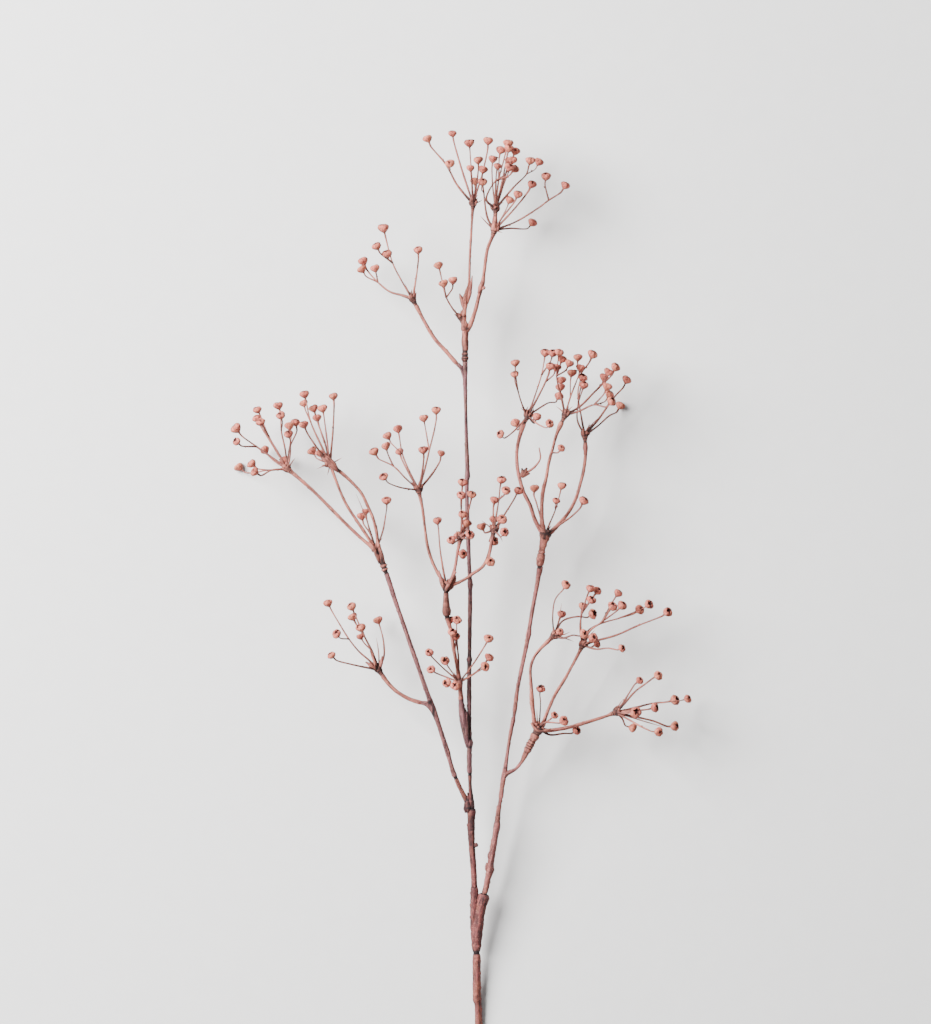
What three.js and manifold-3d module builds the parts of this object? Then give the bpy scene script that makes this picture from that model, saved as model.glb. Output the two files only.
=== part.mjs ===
// A dried, dusty pink flowering stem that lies on a surface: a cut stem divides at a fork and a collar
// into three long branches, and rays with heads of small seed pods stand at their ends.
// Millimetres. In the plan +Y runs from the cut end to the tips, and +Z is up from the surface.

import * as THREE from 'three';
import { mergeVertices } from 'three/addons/utils/BufferGeometryUtils.js';
import Module from 'manifold-3d';

const wasm = await Module();
wasm.setup();

// Driving dimensions
const POD_RADIUS = 3.8; // half the width of an ordinary seed pod at its shoulder
const POD_HEIGHT = 6.6; // from the end of the stalk to the rim
const POD_SIDES = 6;
const STALK_RADIUS = 0.72; // the thin three-sided stalk under each pod, to its corners
const BRACT_RADIUS = 1.2; // a pointed bract at its root
const BRACT_RISE = 4.9; // how far a bract reaches along its ray, and out from it
const BRACT_SPREAD = 4.7;
const BRACTS_PER_UMBEL = 2;
const BRACT_TURN = 0.1; // the turn of an umbel's bracts for each millimetre of its place, to vary them
const SPIKE_RISE = [4, -3]; // how far over its umbel the tip of a bare stalk ends, by turns
const KNOB_RADIUS = 2.7; // the swollen node where the stalks of an umbel meet
const KNOB_HEIGHT = 1.9; // from its widest ring to its top
const KNOB_TOP = 1.8; // its radius there
const STEM_SIDES = 5;
const THICK_SIDES = 7; // the sides of a run wider than THICK_RADIUS
const THICK_RADIUS = 2.75;
const STEM_EDGE = 0.2; // what the dark edges of a stem add to the half widths in its rows, and of a ray
const RAY_EDGE = 0.1;
const RAY_SIDES = 5;
const RAY_FLARE = [1.35, 1.15]; // how much wider a ray is at its first two places, where it leaves its node
const BRACT_SIDES = 3;
const JOINT_GAP = 0.3; // clearance all round where one length of stem sits in the next
const PEG_LENGTH = 5;
const PEG_ROOT = 2; // how far down a peg starts inside its own piece
const BORE_MOUTH = 1; // how far a bore's cutter reaches past its open end
const SURFACE_BLOCK = [1000, 2000, 20]; // trims what would reach under the surface

// A pod's outline: height and half width, as shares of POD_HEIGHT and POD_RADIUS, ending in its dimple
const POD_OUTLINE = [[0.62, 1], [1, 0.66]];
const DIMPLE_FLOOR = 0.62;
const STALK_FOOT = 1.4; // how far out from the middle of its umbel a stalk starts
const STALK_FOOT_RADIUS = 0.42;
const BENT_STALK = 26; // a stalk's last stretch bends once where it is longer than this
const STALK_BEND = 0.12; // how far it bends, as a share of its length
const BEND_PLACE = 0.35; // where it bends, as a share of its length back from the pod
const POD_OUTWARD = 0.6; // a pod looks along its stalk by this much
const POD_FACING = 0.7; // and the way that its umbel faces by this much

// The share of its spare length that a stalk takes upward, or downward where negative, by turns
const TURNS = [0.85, -0.7, 0.3, -0.95, 0.6, -0.25, 0.95, -0.5];
const FORK_STEP = 7; // how far apart in depth the pods of a forked stalk stand
const POD_CLEARANCE = 7.4; // pods nearer than this, middle to middle, would grow through each other
const CLEAR_STEP = 2.2;
const CLEAR_TRIES = 12;
const LOW_POD = 2.9; // the height of the middle of the two pods that the heads rest on

const SHADES = {
  stem: new THREE.MeshStandardMaterial({ color: 0x8f5f58, roughness: 0.85, metalness: 0 }),
  head: new THREE.MeshStandardMaterial({ color: 0xb5796b, roughness: 0.9, metalness: 0 }),
};

// Where one length of stem sits in the next: the end of the lower piece, the way out of it, the radius
// of the stem there and the radius of the peg that stands in the upper piece. foot is the radius of the
// upper piece where it is slimmer than the cup that it stands in.
const JOINTS = {
  base: { at: [-0.8, 79.2, 9.7], along: [0, 1, 0.16], radius: 2.6, peg: 1.5 },
  sleeveLeft: { at: [-2.5, 133, 18], along: [-0.06, 1, 0.17], radius: 2.8, foot: 2.2, peg: 1.3 },
  sleeveRight: { at: [5.4, 127.2, 17.6], along: [0.26, 1, 0.16], radius: 3.9, foot: 2.1, peg: 1.2 },
  middleCentre: { at: [-6.1, 224, 33.2], along: [-0.03, 1, 0.14], radius: 1.5, peg: 0.8 },
  middleLeft: { at: [-17.3, 221, 31.7], along: [-0.42, 1, 0.1], radius: 1.5, peg: 0.8 },
  centreBranch: { at: [-13.3, 285, 44.8], along: [-0.08, 1, 0.2], radius: 1.8, peg: 0.8 },
  centreHead: { at: [-24.3, 350.3, 56.5], along: [-0.2, 1, 0.14], radius: 1.7, peg: 0.9 },
  top: { at: [-9.9, 554.5, 43.3], along: [0, 1, -0.03], radius: 1.9, peg: 0.9 },
  topLeft: { at: [-15.8, 552.7, 43.6], along: [-0.75, 0.66, 0], radius: 1.35, peg: 0.7 },
  leftHead: { at: [-73, 385.6, 43], along: [-0.38, 1, 0.03], radius: 1.7, peg: 0.9 },
  lowLeft: { at: [-45, 281.8, 37.6], along: [-1, 0.22, 0], radius: 1.4, peg: 0.7 },
  rightHead: { at: [49.7, 390, 43.9], along: [0.14, 1, 0.04], radius: 2, peg: 0.9 },
  rightLow: { at: [35.3, 234, 32.8], along: [0.5, 0.85, 0.12], radius: 1.25, peg: 0.7 },
};

// Stems

// Rows that step in and out between two places, for a collar of stacked rings
function collar(from, to, rings, outer, inner) {
  const steps = rings * 2 - 1;
  return Array.from({ length: steps + 1 }, (_, step) => [
    ...from.map((value, axis) => THREE.MathUtils.lerp(value, to[axis], step / steps)),
    step % 2 ? inner : outer,
  ]);
}

// Each piece of stem is one or more runs: rows of x, y, z and radius from the lower end up. starts and
// ends name the joints at a run's ends, and bores the joints whose pegs stand in the piece.
const STEMS = [
  {
    name: 'stem_base',
    runs: [
      {
        rows: [
          [1.7, -15, 2.45, 2.7], [1.3, 0, 2.45, 2.75], [1, 14, 2.5, 2.75], [0.8, 27, 3.2, 2.75],
          [0.5, 37, 4.2, 2.8], [-0.2, 41, 4.7, 3.4], [-0.4, 45, 5.1, 3.05], [-0.5, 56, 6.4, 3],
          [-0.6, 68, 8, 3], [-0.6, 75.5, 9.1, 2.95],
        ],
        ends: 'base',
      },
    ],
    rests: true,
  },
  {
    name: 'fork_sleeve',
    runs: [
      {
        starts: 'base',
        rows: [
          [-0.7, 86.5, 10.9, 3.8], [-0.4, 95, 12.4, 4.35], [0.6, 103, 13.8, 4.4], [1.9, 112, 15.4, 4.2],
          [3.4, 119, 16.4, 4], [4.8, 124.5, 17.2, 4.35],
        ],
        ends: 'sleeveRight',
      },
      {
        rows: [
          [-1.6, 94, 12.6, 2], [-2.7, 100, 13.2, 2.9], [-2.6, 110, 14.6, 2.9], [-2.5, 120, 16, 2.85],
          [-2.3, 128, 17.2, 3], [-2.4, 131.5, 17.8, 2.9],
        ],
        ends: 'sleeveLeft',
      },
    ],
    bores: ['base'],
  },
  {
    name: 'stem_middle',
    runs: [
      {
        starts: 'sleeveLeft',
        rows: [
          [-2.7, 140, 19.2, 2.2], [-3.3, 150, 20.9, 2.1], [-4.5, 166, 23.6, 2.4],
          [-4.8, 173, 24.8, 2.6], [-5.1, 182, 26.4, 2.9], [-5, 189, 27.6, 2.95], [-4.8, 194, 28.5, 3.3],
          [-4.7, 196.3, 28.8, 3.1],
        ],
      },
      {
        rows: [
          [-4.7, 192, 28.2, 2.2], [-4.8, 199, 29.4, 2.2], [-5.2, 206, 30.5, 1.8],
          [-5.8, 213, 31.6, 1.3], [-6, 219, 32.4, 1.25],
        ],
        ends: 'middleCentre',
      },
      {
        rows: [
          [-5.8, 192, 28, 2], [-8.2, 201, 29, 1.9], [-11.6, 208.5, 30, 1.7], [-15, 215.5, 31, 1.55],
        ],
        ends: 'middleLeft',
      },
      { rows: [[-3.6, 165.6, 23.6, 1.3], [-2, 166.6, 23.8, 1.3], [-0.6, 167.4, 24, 1]] },
      { rows: [[-6.3, 199, 30, 1.3], [-7.2, 205, 31, 0.9], [-7.9, 209.5, 31.8, 0.35]] },
    ],
    bores: ['sleeveLeft'],
  },
  {
    name: 'stem_centre',
    runs: [
      {
        starts: 'middleCentre',
        rows: [
          [-6.4, 227, 33.7, 1.9], [-6.5, 233, 34.6, 1.7], [-6.6, 240, 35.6, 1.7],
          [-6.3, 246, 36.3, 1.8], [-6.1, 249.5, 36.8, 2.5], [-6.4, 254, 37.3, 1.7],
          [-6.5, 265, 38.6, 1.5], [-6.6, 285, 40.6, 1.6], [-6.6, 312, 42.6, 1.45],
          [-6.5, 316.5, 42.9, 2], [-6.5, 321, 43.2, 1.45],
          [-6, 370, 45, 1.5], [-6, 377, 45.1, 2], [-6.3, 383, 45.2, 1.45], [-7, 400, 45.4, 1.45],
          [-8.5, 459, 45.2, 1.5], [-8, 463.5, 45.2, 2], [-8.1, 469, 45.1, 1.5],
          [-8.8, 490, 44.8, 1.25], [-9.4, 512, 44.4, 1.1], [-9.8, 530, 44, 1.25],
          [-10, 541, 43.7, 1.55], [-9.9, 548, 43.5, 1.85],
        ],
        ends: 'top',
      },
      {
        rows: [
          [-7.5, 246, 36.8, 1.3], [-8.8, 254, 38.6, 2.3], [-10.3, 263, 40.4, 3],
          [-11.6, 271, 42, 2.9], [-12.7, 278, 43.3, 2.2],
        ],
        ends: 'centreBranch',
      },
      {
        rows: [[-10, 539, 43.7, 1.2], [-11.2, 545.5, 43.6, 1.45], [-13, 549.8, 43.6, 1.4]],
        ends: 'topLeft',
      },
    ],
    bores: ['middleCentre'],
  },
  {
    name: 'branch_left',
    runs: [
      {
        starts: 'middleLeft',
        rows: [
          [-18.6, 223.8, 32, 1.95], [-20.1, 228, 32.5, 1.55], [-22.4, 236, 33.3, 1.6],
          [-23.9, 241.5, 33.9, 2.1], [-25.6, 247, 34.5, 1.8], [-28.5, 256, 35.4, 1.6],
          [-31.4, 265, 36.2, 1.6], [-34.1, 272.5, 36.9, 1.9], [-36.6, 279, 37.5, 2.3],
          [-38.6, 285, 38, 1.8], [-42.5, 296, 38.8, 1.6], [-48, 312, 39.8, 1.5],
          [-60.3, 348, 41.6, 1.5], [-66.2, 365, 42.3, 1.6], [-70.2, 377.5, 42.7, 1.7],
        ],
        ends: 'leftHead',
      },
      {
        rows: [[-34.5, 272, 36.9, 1.4], [-37.6, 278, 37.4, 2], [-40.8, 280.8, 37.5, 1.9]],
        ends: 'lowLeft',
      },
    ],
    bores: ['middleLeft'],
  },
  {
    name: 'branch_right',
    runs: [
      {
        starts: 'sleeveRight',
        rows: [
          [6.8, 132, 18.4, 2.3], [8.3, 140, 19.6, 2.15], [9.9, 146, 20.5, 2.9], [10.5, 152, 21.3, 2.5],
          [11.7, 160, 22.4, 2.3], [14.5, 176, 24.6, 2.3],
          [15.6, 182.5, 25.5, 2.7], [16, 186.5, 26, 1.9], [16.8, 194, 27, 1.75], [18.2, 202, 28, 1.25],
          [19, 207, 28.5, 1.6], [19.8, 214, 29.3, 1.5], [21, 222, 30.2, 1.9], [22.2, 228.5, 30.9, 1.7],
          [23.4, 237, 31.8, 1.25], [25, 248, 33, 1.2], [27, 260, 34.2, 1.3], [28.6, 267.5, 35, 1.45],
          [29.2, 271, 35.3, 1.1], [30, 277, 35.9, 1.5], [32, 292, 37.3, 1.4],
          [39.6, 330, 40.4, 1.4], [41, 337.5, 40.9, 1.85], [41.8, 343, 41.3, 1.4],
          [44.6, 360, 42.4, 1.45], [47.9, 378, 43.3, 1.5],
        ],
        ends: 'rightHead',
      },
      {
        rows: [
          [20.5, 219.5, 29.8, 1.4], [22.8, 224.2, 30.7, 2.1], [26.2, 226, 31.3, 1.6], [30.6, 228.4, 32, 1],
        ],
        ends: 'rightLow',
      },
    ],
    bores: ['sleeveRight'],
  },
];

// Heads

// A stalk with a pod at its end: x, y, a size and, where it is set by hand, a height. Further pods fork
// off near its end. via holds the places in the plan that it passes on its way from the umbel.
const stalk = (pods, via = []) => ({ pods, via });
const pod = (x, y, size = 1) => stalk([[x, y, size]]);

// Each umbel stands at a place, on a ray whose rows of x, y and radius start at startHeight. facing is
// the way its pods look, reach is the length of its stalks, and depth the least and greatest height
// of a pod over the umbel. spikes are the tips of bare pointed stalks in the plan.
const HEADS = [
  {
    name: 'head_top',
    joint: 'top',
    stem: [
      [-9.9, 556, 43.3, 2.3], ...collar([-10, 557.5, 43.3], [-9.9, 562.5, 43.2], 2, 2.55, 1.95),
      [-9.7, 566.5, 43.1, 2.35], [-10.1, 571, 43, 2.5], [-9.8, 577, 42.8, 2.5], [-9.6, 583, 42.7, 2.8],
    ],
    umbels: [
      {
        at: [-13, 590, 43], facing: [-0.2, 1, 0], reach: 36, depth: [-10, 16],
        startHeight: 42.8, ray: [[-10.5, 580, 1.4], [-11.5, 586, 1.4]],
        stalks: [stalk([[-27, 616.5], [-19.5, 619], [-31, 632]], [[-19, 596], [-25, 606]])],
      },
      {
        at: [-3.5, 681, 50], facing: [-0.1, 1, 0], reach: 52, depth: [-30, 30],
        startHeight: 42.8,
        ray: [
          [-10, 580, 2], [-11, 590, 1.9], [-9.3, 603, 1.6], [-7, 615, 0.95], [-6, 640, 0.85],
          [-4.6, 665, 0.85], [-4.1, 674, 1.1],
        ],
        stalks: [
          stalk([[-39.5, 732.5], [-22, 711]], [[-10, 688], [-17, 697], [-25, 712]]),
          pod(-20, 736.5, 0.9), pod(-6.5, 728.5, 1.05), pod(8.5, 731), pod(-5.5, 707.5, 0.9),
          pod(-2, 699), pod(0.5, 713.5),
        ],
        spikes: [[4, 684], [-9, 686]],
      },
      {
        at: [13.5, 660, 44], facing: [0.3, 1, 0], reach: 50, depth: [-28, 28],
        startHeight: 42.7,
        ray: [
          [-9, 580, 1.8], [-6, 584, 1.6], [-2, 595, 1.5], [1, 607, 1.3], [4, 618, 1.75],
          [5.2, 626, 1.2], [8, 645, 1.3], [11.5, 654, 1.2],
        ],
        stalks: [
          stalk([[4.5, 707.5], [4, 697]], [[8, 670], [5, 690]]),
          stalk([[44, 667]], [[26, 662]]), stalk([[32, 687.5], [25.5, 683.5]], [[19, 669]]),
          stalk([[70, 695.5], [54.5, 702]], [[31, 667], [49, 678], [57, 684]]), pod(43, 695.5),
        ],
        spikes: [[20, 658], [2, 672]],
      },
      {
        at: [14.5, 677, 46], facing: [0.3, 1, 0], reach: 50, depth: [-30, 30],
        startHeight: 44, ray: [[13.5, 660, 2], [14, 669, 1.6]],
        stalks: [
          stalk([[25, 708], [29, 707.5]], [[7, 684], [14, 698]]),
          pod(12.5, 717.5), pod(16, 710, 0.85), stalk([[24.5, 729, 1.1], [18.5, 724]], [[17, 700]]),
          stalk([[25, 724.5], [30, 722.5]], [[20, 700]]), stalk([[25, 715], [28, 715.5]], [[20, 694]]),
          stalk([[42, 714], [49, 714.5]], [[22, 686], [30, 695], [39, 704]]),
        ],
        spikes: [[21, 682]],
      },
    ],
    spurs: [
      [[-9.6, 602, 43.6, 1.4], [-7, 611, 44.4, 0.95], [-4.4, 621, 45.2, 0.35]],
      [[-9.9, 599, 43.6, 1.3], [-12, 604.5, 43.9, 1.1], [-14.2, 608.5, 44.2, 0.5]],
    ],
  },
  {
    name: 'head_top_left',
    joint: 'topLeft',
    stem: [
      [-17.4, 554.2, 43.6, 1.6], [-25, 563, 43.9, 1.3], [-34, 573, 44.4, 1.3], [-43, 588, 45, 1.2],
      [-48.4, 598.5, 45.5, 1.6],
    ],
    umbels: [
      {
        at: [-52, 605, 46], facing: [-0.2, 1, 0.2], reach: 58, depth: [-26, 26],
        stalks: [
          stalk([[-75, 661, 1.2], [-80, 646], [-72, 640, 1.05]], [[-61, 620], [-68, 634]]),
          stalk([[-91.5, 635.5, 1.1], [-92.5, 629], [-82, 629.5]], [[-60, 608], [-70, 611], [-80, 619]]),
          pod(-47.5, 643),
        ],
        spikes: [[-58, 617], [-50, 613]],
      },
    ],
  },
  {
    name: 'head_left',
    joint: 'leftHead',
    stem: [
      ...collar([-73.8, 387.2, 43.1], [-76, 393, 43.3], 4, 2.6, 2.1), [-77.4, 397, 43.5, 2.7],
      [-78.6, 400.5, 43.7, 2.6],
    ],
    umbels: [
      {
        at: [-81, 404, 44], facing: [-0.1, 1, 0.3], reach: 42, depth: [-22, 24],
        stalks: [
          stalk([[-72.5, 443]], [[-75.5, 420], [-73.5, 431]]),
          stalk([[-93, 430.5], [-89.5, 434.5, 0.8]], [[-86, 417]]),
        ],
        spikes: [[-97, 449], [-76, 414]],
      },
      {
        at: [-152, 469, 38], facing: [-0.5, 1, 0.25], reach: 52, depth: [-27, 30],
        startHeight: 44,
        ray: [
          [-81, 404, 1.5], [-90, 411, 1.3], [-100, 420, 1.2], [-115, 435, 1.2], [-130, 450, 1.2],
          [-140, 459, 1.3], [-147, 465, 1.5],
        ],
        stalks: [
          stalk([[-193, 501, 1.2], [-192, 490.5, 0.9]], [[-163, 477], [-177, 487]]),
          stalk([[-192, 470.5, 1, LOW_POD]], [[-170, 468]]),
          stalk([[-177.5, 466.5], [-180, 473]], [[-165, 468]]),
          pod(-171, 484, 1.05), stalk([[-176, 516, 0.95], [-173, 506]], [[-160, 483], [-167, 495]]),
          pod(-177, 509, 0.9), stalk([[-159, 519], [-157, 511]], [[-154, 485], [-157, 500]]),
          stalk([[-146, 506], [-151, 503]], [[-151, 485]]), pod(-150.5, 496), pod(-155, 476, 1.05),
        ],
        spikes: [[-158, 481], [-146, 478]],
      },
      {
        at: [-118, 473, 54], facing: [-0.2, 1, 0.25], reach: 50, depth: [-26, 28],
        startHeight: 44,
        ray: [
          [-81, 404, 1.5], [-80, 412, 1.2], [-83, 428, 1.1], [-88, 440, 1.1], [-93, 450, 1.1],
          [-102, 460, 1.2], [-110, 467, 1.4],
        ],
        stalks: [
          stalk([[-138, 528], [-139, 521, 0.9]], [[-125, 488], [-133, 506]]),
          stalk([[-131, 517], [-128.5, 509.5]], [[-122, 490]]), pod(-123.5, 516.5), pod(-115, 526.5, 0.95),
          pod(-138, 503.5), stalk([[-132, 483], [-126, 481, 0.9]]),
        ],
        spikes: [[-128, 469], [-120, 464], [-108, 478]],
      },
    ],
    spurs: [
      [
        [-81, 404, 44, 1.2], [-90, 418, 46, 1.05], [-98, 430, 48, 1], [-106, 443, 50, 0.95],
        [-118, 473, 54, 0.9],
      ],
    ],
  },
  {
    name: 'head_low_left',
    joint: 'lowLeft',
    stem: [
      [-47.4, 282.4, 37.7, 1.45], [-55, 285, 38, 1.25], [-65, 291, 38.6, 1.2], [-72, 298, 39.2, 1.3],
      [-76, 303.5, 39.6, 1.7],
    ],
    umbels: [
      {
        at: [-79, 308, 40], facing: [-0.4, 1, 0.4], reach: 52, depth: [-24, 26],
        stalks: [
          stalk([[-119.5, 361], [-112, 337]], [[-87, 316], [-95, 323], [-103, 333]]),
          stalk([[-100.5, 358], [-100, 350]], [[-84, 322], [-91, 336]]),
          stalk([[-93, 341.5, 1.1], [-93.5, 334.5, 0.8]], [[-85, 324]]),
          stalk([[-80, 347]], [[-75, 319], [-75.5, 331]]),
          stalk([[-116, 320, 0.9]], [[-88, 310], [-101, 313]]),
        ],
        spikes: [[-81, 334], [-92, 320]],
      },
    ],
  },
  {
    name: 'head_centre',
    joint: 'centreHead',
    stem: [
      [-24.6, 352.4, 56.8, 2.7], [-24.8, 355.5, 57.2, 3.1], [-25.1, 360, 57.8, 2.7],
      [-25.2, 365, 58.5, 2.2], [-25.2, 369.5, 59.2, 2],
    ],
    umbels: [
      {
        at: [-25, 376, 60], facing: [-0.2, 1, 0.6], reach: 52, depth: [0, 12],
        stalks: [stalk([[-32, 427, 0.95]], [[-28, 392], [-30, 406]])],
        spikes: [[-20, 384], [-31, 385]],
      },
      {
        at: [-47, 452, 62], facing: [-0.2, 1, 0.35], reach: 56, depth: [-28, 26],
        startHeight: 60,
        ray: [
          [-25, 376, 1.3], [-30, 383, 1.2], [-36, 395, 1.15], [-40, 408, 1.1], [-42, 422, 1],
          [-44, 438, 1.1], [-45.7, 446, 1.4],
        ],
        stalks: [
          stalk([[-33, 515], [-43, 509]], [[-43, 465], [-38.5, 484]]),
          stalk([[-63.5, 500.5], [-71.5, 495]], [[-53, 464], [-60, 481]]),
          stalk([[-82, 482], [-73, 486.5]], [[-57, 461], [-67, 471]]), pod(-62.5, 482.5, 0.9),
          pod(-43, 483), pod(-29, 481, 0.85), pod(-74, 462, 0.95),
        ],
        spikes: [[-54, 460], [-45, 464]],
      },
      {
        at: [-13.5, 414, 66], facing: [0.1, 0.5, 1], reach: 44, depth: [-3, 24],
        startHeight: 60, ray: [[-25, 376, 1.3], [-21, 381, 1.2], [-18, 390, 1.1], [-16, 402, 1.1]],
        stalks: [
          stalk([[-12, 457.5], [-13, 447]], [[-13, 425], [-13, 437]]), pod(-4.5, 448), pod(-12, 432),
          pod(-9, 425, 1.1), pod(-6, 416), pod(-15.5, 415), pod(-21, 412, 0.9), pod(-12.5, 401),
        ],
      },
      {
        at: [13, 420, 64], facing: [0.3, 0.7, 0.9], reach: 44, depth: [-3, 24],
        startHeight: 60,
        ray: [
          [-25, 376, 1.3], [-19, 377, 1.2], [-10, 381, 1.15], [-3, 386, 1.15], [4, 391, 1.15],
          [9, 401, 1.15],
        ],
        stalks: [
          stalk([[19, 459.5], [22.5, 451]], [[15, 432], [17, 445]]), pod(13.5, 443.5), pod(32, 451),
          pod(3.5, 422.5), pod(19, 428, 1.1), pod(13, 428), pod(21, 418), pod(12.5, 411.5),
          pod(10, 395),
        ],
        spikes: [[3, 428], [20, 411]],
      },
    ],
  },
  {
    name: 'head_right_top',
    joint: 'rightHead',
    stem: [
      [50, 392.8, 44, 2.7], [50.4, 396, 44.2, 3.1], [50.8, 398.6, 44.4, 2.95],
      ...collar([51, 400.2, 44.5], [51.5, 404.2, 44.9], 2, 2.95, 2.3), [52.3, 408.5, 45.3, 2.6],
    ],
    umbels: [
      {
        at: [54, 416, 46], knob: 1.35, facing: [0.2, 1, 0.3], reach: 46, depth: [-16, 24],
        stalks: [
          stalk([[67, 455], [62.5, 443, 0.8]], [[57.5, 425], [62, 436]]),
          stalk([[45.5, 453]], [[50, 432], [47, 443]]), stalk([[84.5, 443, 1.05]], [[65, 424], [75, 431]]),
        ],
        spikes: [[57, 426], [49, 425]],
      },
      {
        at: [33.7, 463.5, 51.5], bare: true, facing: [0.2, 1, 0.2], reach: 30, depth: [-6, 10],
        stalks: [],
        spikes: [[38.5, 470]],
      },
      {
        at: [59.6, 482, 50.3], bare: true, facing: [0.3, 1, 0.2], reach: 14, depth: [-4, 8],
        stalks: [pod(66.5, 485, 0.85)],
      },
      {
        at: [40, 511, 56], facing: [0.1, 1, 0.25], reach: 52, depth: [-24, 28],
        startHeight: 46,
        ray: [
          [54, 416, 1.6], [50.5, 420, 1.5], [46, 428, 1.45], [42, 440, 1.4], [37, 450, 1.35],
          [34, 460, 1.4], [32, 470, 1.25], [31.5, 482, 1.2], [33, 492, 1.35], [36, 502, 1.9],
        ],
        stalks: [
          stalk([[30, 552.5, 0.95], [29.5, 543.5, 0.9]], [[36, 519], [32.5, 530]]),
          pod(30.5, 505.5), pod(18.5, 496, 0.9), pod(47.5, 510.5), pod(57, 504.5, 0.95),
          stalk([[54, 561], [60, 560.5]], [[45, 525], [51, 544]]),
          stalk([[57.5, 549.5], [62.5, 549]], [[48, 526], [54, 538]]),
          stalk([[65, 527]], [[47, 516], [57, 522]]),
        ],
        spikes: [[50, 530], [34, 518]],
      },
      {
        at: [70, 512, 52], facing: [0.2, 1, 0.3], reach: 52, depth: [-28, 28],
        startHeight: 46,
        ray: [
          [54, 416, 1.8], [52, 424, 1.65], [51.5, 440, 1.5], [52.6, 452, 1.5], [55, 462, 1.2],
          [57, 474, 1.1], [60, 485, 1.1], [63, 496, 1.2], [66.5, 504.5, 1.9],
        ],
        stalks: [
          stalk([[65, 561], [67, 556], [73, 552.5]], [[67, 525], [63, 543]]),
          stalk([[67, 540], [66.5, 534]], [[68, 523]]), stalk([[82, 549], [75, 545]], [[74, 526]]),
          stalk([[110, 549.5, 1.05], [101.5, 542], [104.5, 546]], [[82, 519], [93, 530]]),
          stalk([[106, 522], [103, 534], [105, 528]], [[81, 515], [93, 520]]),
        ],
        spikes: [[76, 519], [63, 519]],
      },
      {
        at: [86, 496, 36], facing: [0.3, 1, 0.1], reach: 52, depth: [-24, 30],
        startHeight: 46,
        ray: [
          [54, 416, 1.6], [59, 419, 1.5], [67, 427, 1.35], [74, 436, 1.3], [79, 446, 1.25],
          [82, 456, 1.2], [85, 468, 1.2], [86.5, 480, 1.3], [86.4, 486.5, 2], [86.3, 489.5, 1.6],
        ],
        stalks: [
          stalk([[84, 541], [84.5, 535]], [[80, 508], [80.5, 522]]),
          stalk([[80.5, 558], [92, 560, 1.05]], [[83, 512], [80.5, 530], [83, 546]]),
          stalk([[115, 520, 1, LOW_POD]], [[97, 504], [106, 512]]),
          stalk([[119.5, 540, 1.05]], [[97, 509], [109, 526]]),
        ],
        spikes: [[91, 505], [98, 511], [83, 503]],
      },
    ],
    spurs: [
      [
        [33.5, 463, 51.4, 1], [39, 466, 52.4, 0.75], [45.5, 470.5, 53.4, 0.6], [50, 477, 54.4, 0.5],
        [49.2, 486, 55.4, 0.3],
      ],
    ],
  },
  {
    name: 'head_right_low',
    joint: 'rightLow',
    stem: [
      [36.7, 236.6, 33.1, 1.6], [39.1, 241.6, 33.9, 2.3],
      ...collar([40.5, 244.4, 34.4], [43.8, 251.1, 35.7], 4, 3.1, 2.5), [46.2, 255.4, 36.8, 3.2],
    ],
    umbels: [
      {
        at: [49, 261, 38], knob: 1.25, facing: [0.3, 0.6, 1], reach: 34, depth: [-6, 22],
        stalks: [
          stalk([[68.5, 268, 1.05], [61, 272, 0.8]], [[54, 266]]),
          stalk([[79, 259]], [[58, 256], [69, 257]]),
          stalk([[50.5, 292.5, 0.95]], [[50, 272], [50.4, 283]]),
        ],
        spikes: [[47.5, 277], [44, 268], [55, 270]],
      },
      {
        at: [61, 336, 56], facing: [0.2, 0.6, 1], reach: 42, depth: [-8, 24],
        startHeight: 38,
        ray: [
          [49, 261, 1.5], [46, 265, 1.4], [44.6, 274, 1.35], [43.6, 283, 1.75], [43, 295, 1.25],
          [42.5, 310, 1.1], [45, 318, 1], [50, 325, 1.1], [56.5, 331.5, 1.5],
        ],
        stalks: [
          stalk([[70, 376]], [[60, 352], [62, 365]]), pod(67, 352.5), pod(65.5, 339, 0.8),
          stalk([[91.5, 352.5, 1.1]], [[68, 347.5], [80, 351]]),
          stalk([[84, 337.5]], [[68, 334], [76, 336.5]]),
        ],
        spikes: [[74, 339], [77, 331], [67, 362]],
      },
      {
        at: [84, 328, 44], facing: [0.4, 0.6, 1], reach: 48, depth: [-10, 26],
        startHeight: 38,
        ray: [
          [49, 261, 1.5], [52.5, 266, 1.35], [57, 277, 1.2], [62, 288, 1.15], [70, 301, 1.1],
          [76, 312, 1.05], [81.5, 322.5, 1.3],
        ],
        stalks: [
          stalk([[90, 373], [95.5, 371, 0.95], [90.5, 364]], [[82, 342], [83.5, 354]]), pod(84.5, 358.5),
          pod(92, 333.5, 1.05), pod(95.5, 328.5, 0.9), stalk([[114.5, 326, 0.85]], [[95, 325], [104, 326]]),
          stalk([[129, 356, 1.05], [136.5, 360.5]], [[88, 339], [98, 345], [113, 349.5]]),
          stalk([[107, 359, 1.1], [115, 359.5, 1.1], [112.5, 369]], [[90, 340], [99, 347]]),
          stalk([[151.5, 354, 1.05]], [[93, 331], [111, 336], [128, 343.5]]),
        ],
        spikes: [[94, 340]],
      },
      {
        at: [111, 274, 36], facing: [0.6, 0.3, 1], reach: 52, depth: [-8, 28],
        startHeight: 38,
        ray: [
          [49, 261, 1.4], [55, 259.5, 1.35], [65, 260.5, 1.3], [75, 262.5, 1.25], [82, 264.5, 1.5],
          [92, 267.5, 1.3], [103, 271, 1.2],
        ],
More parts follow.
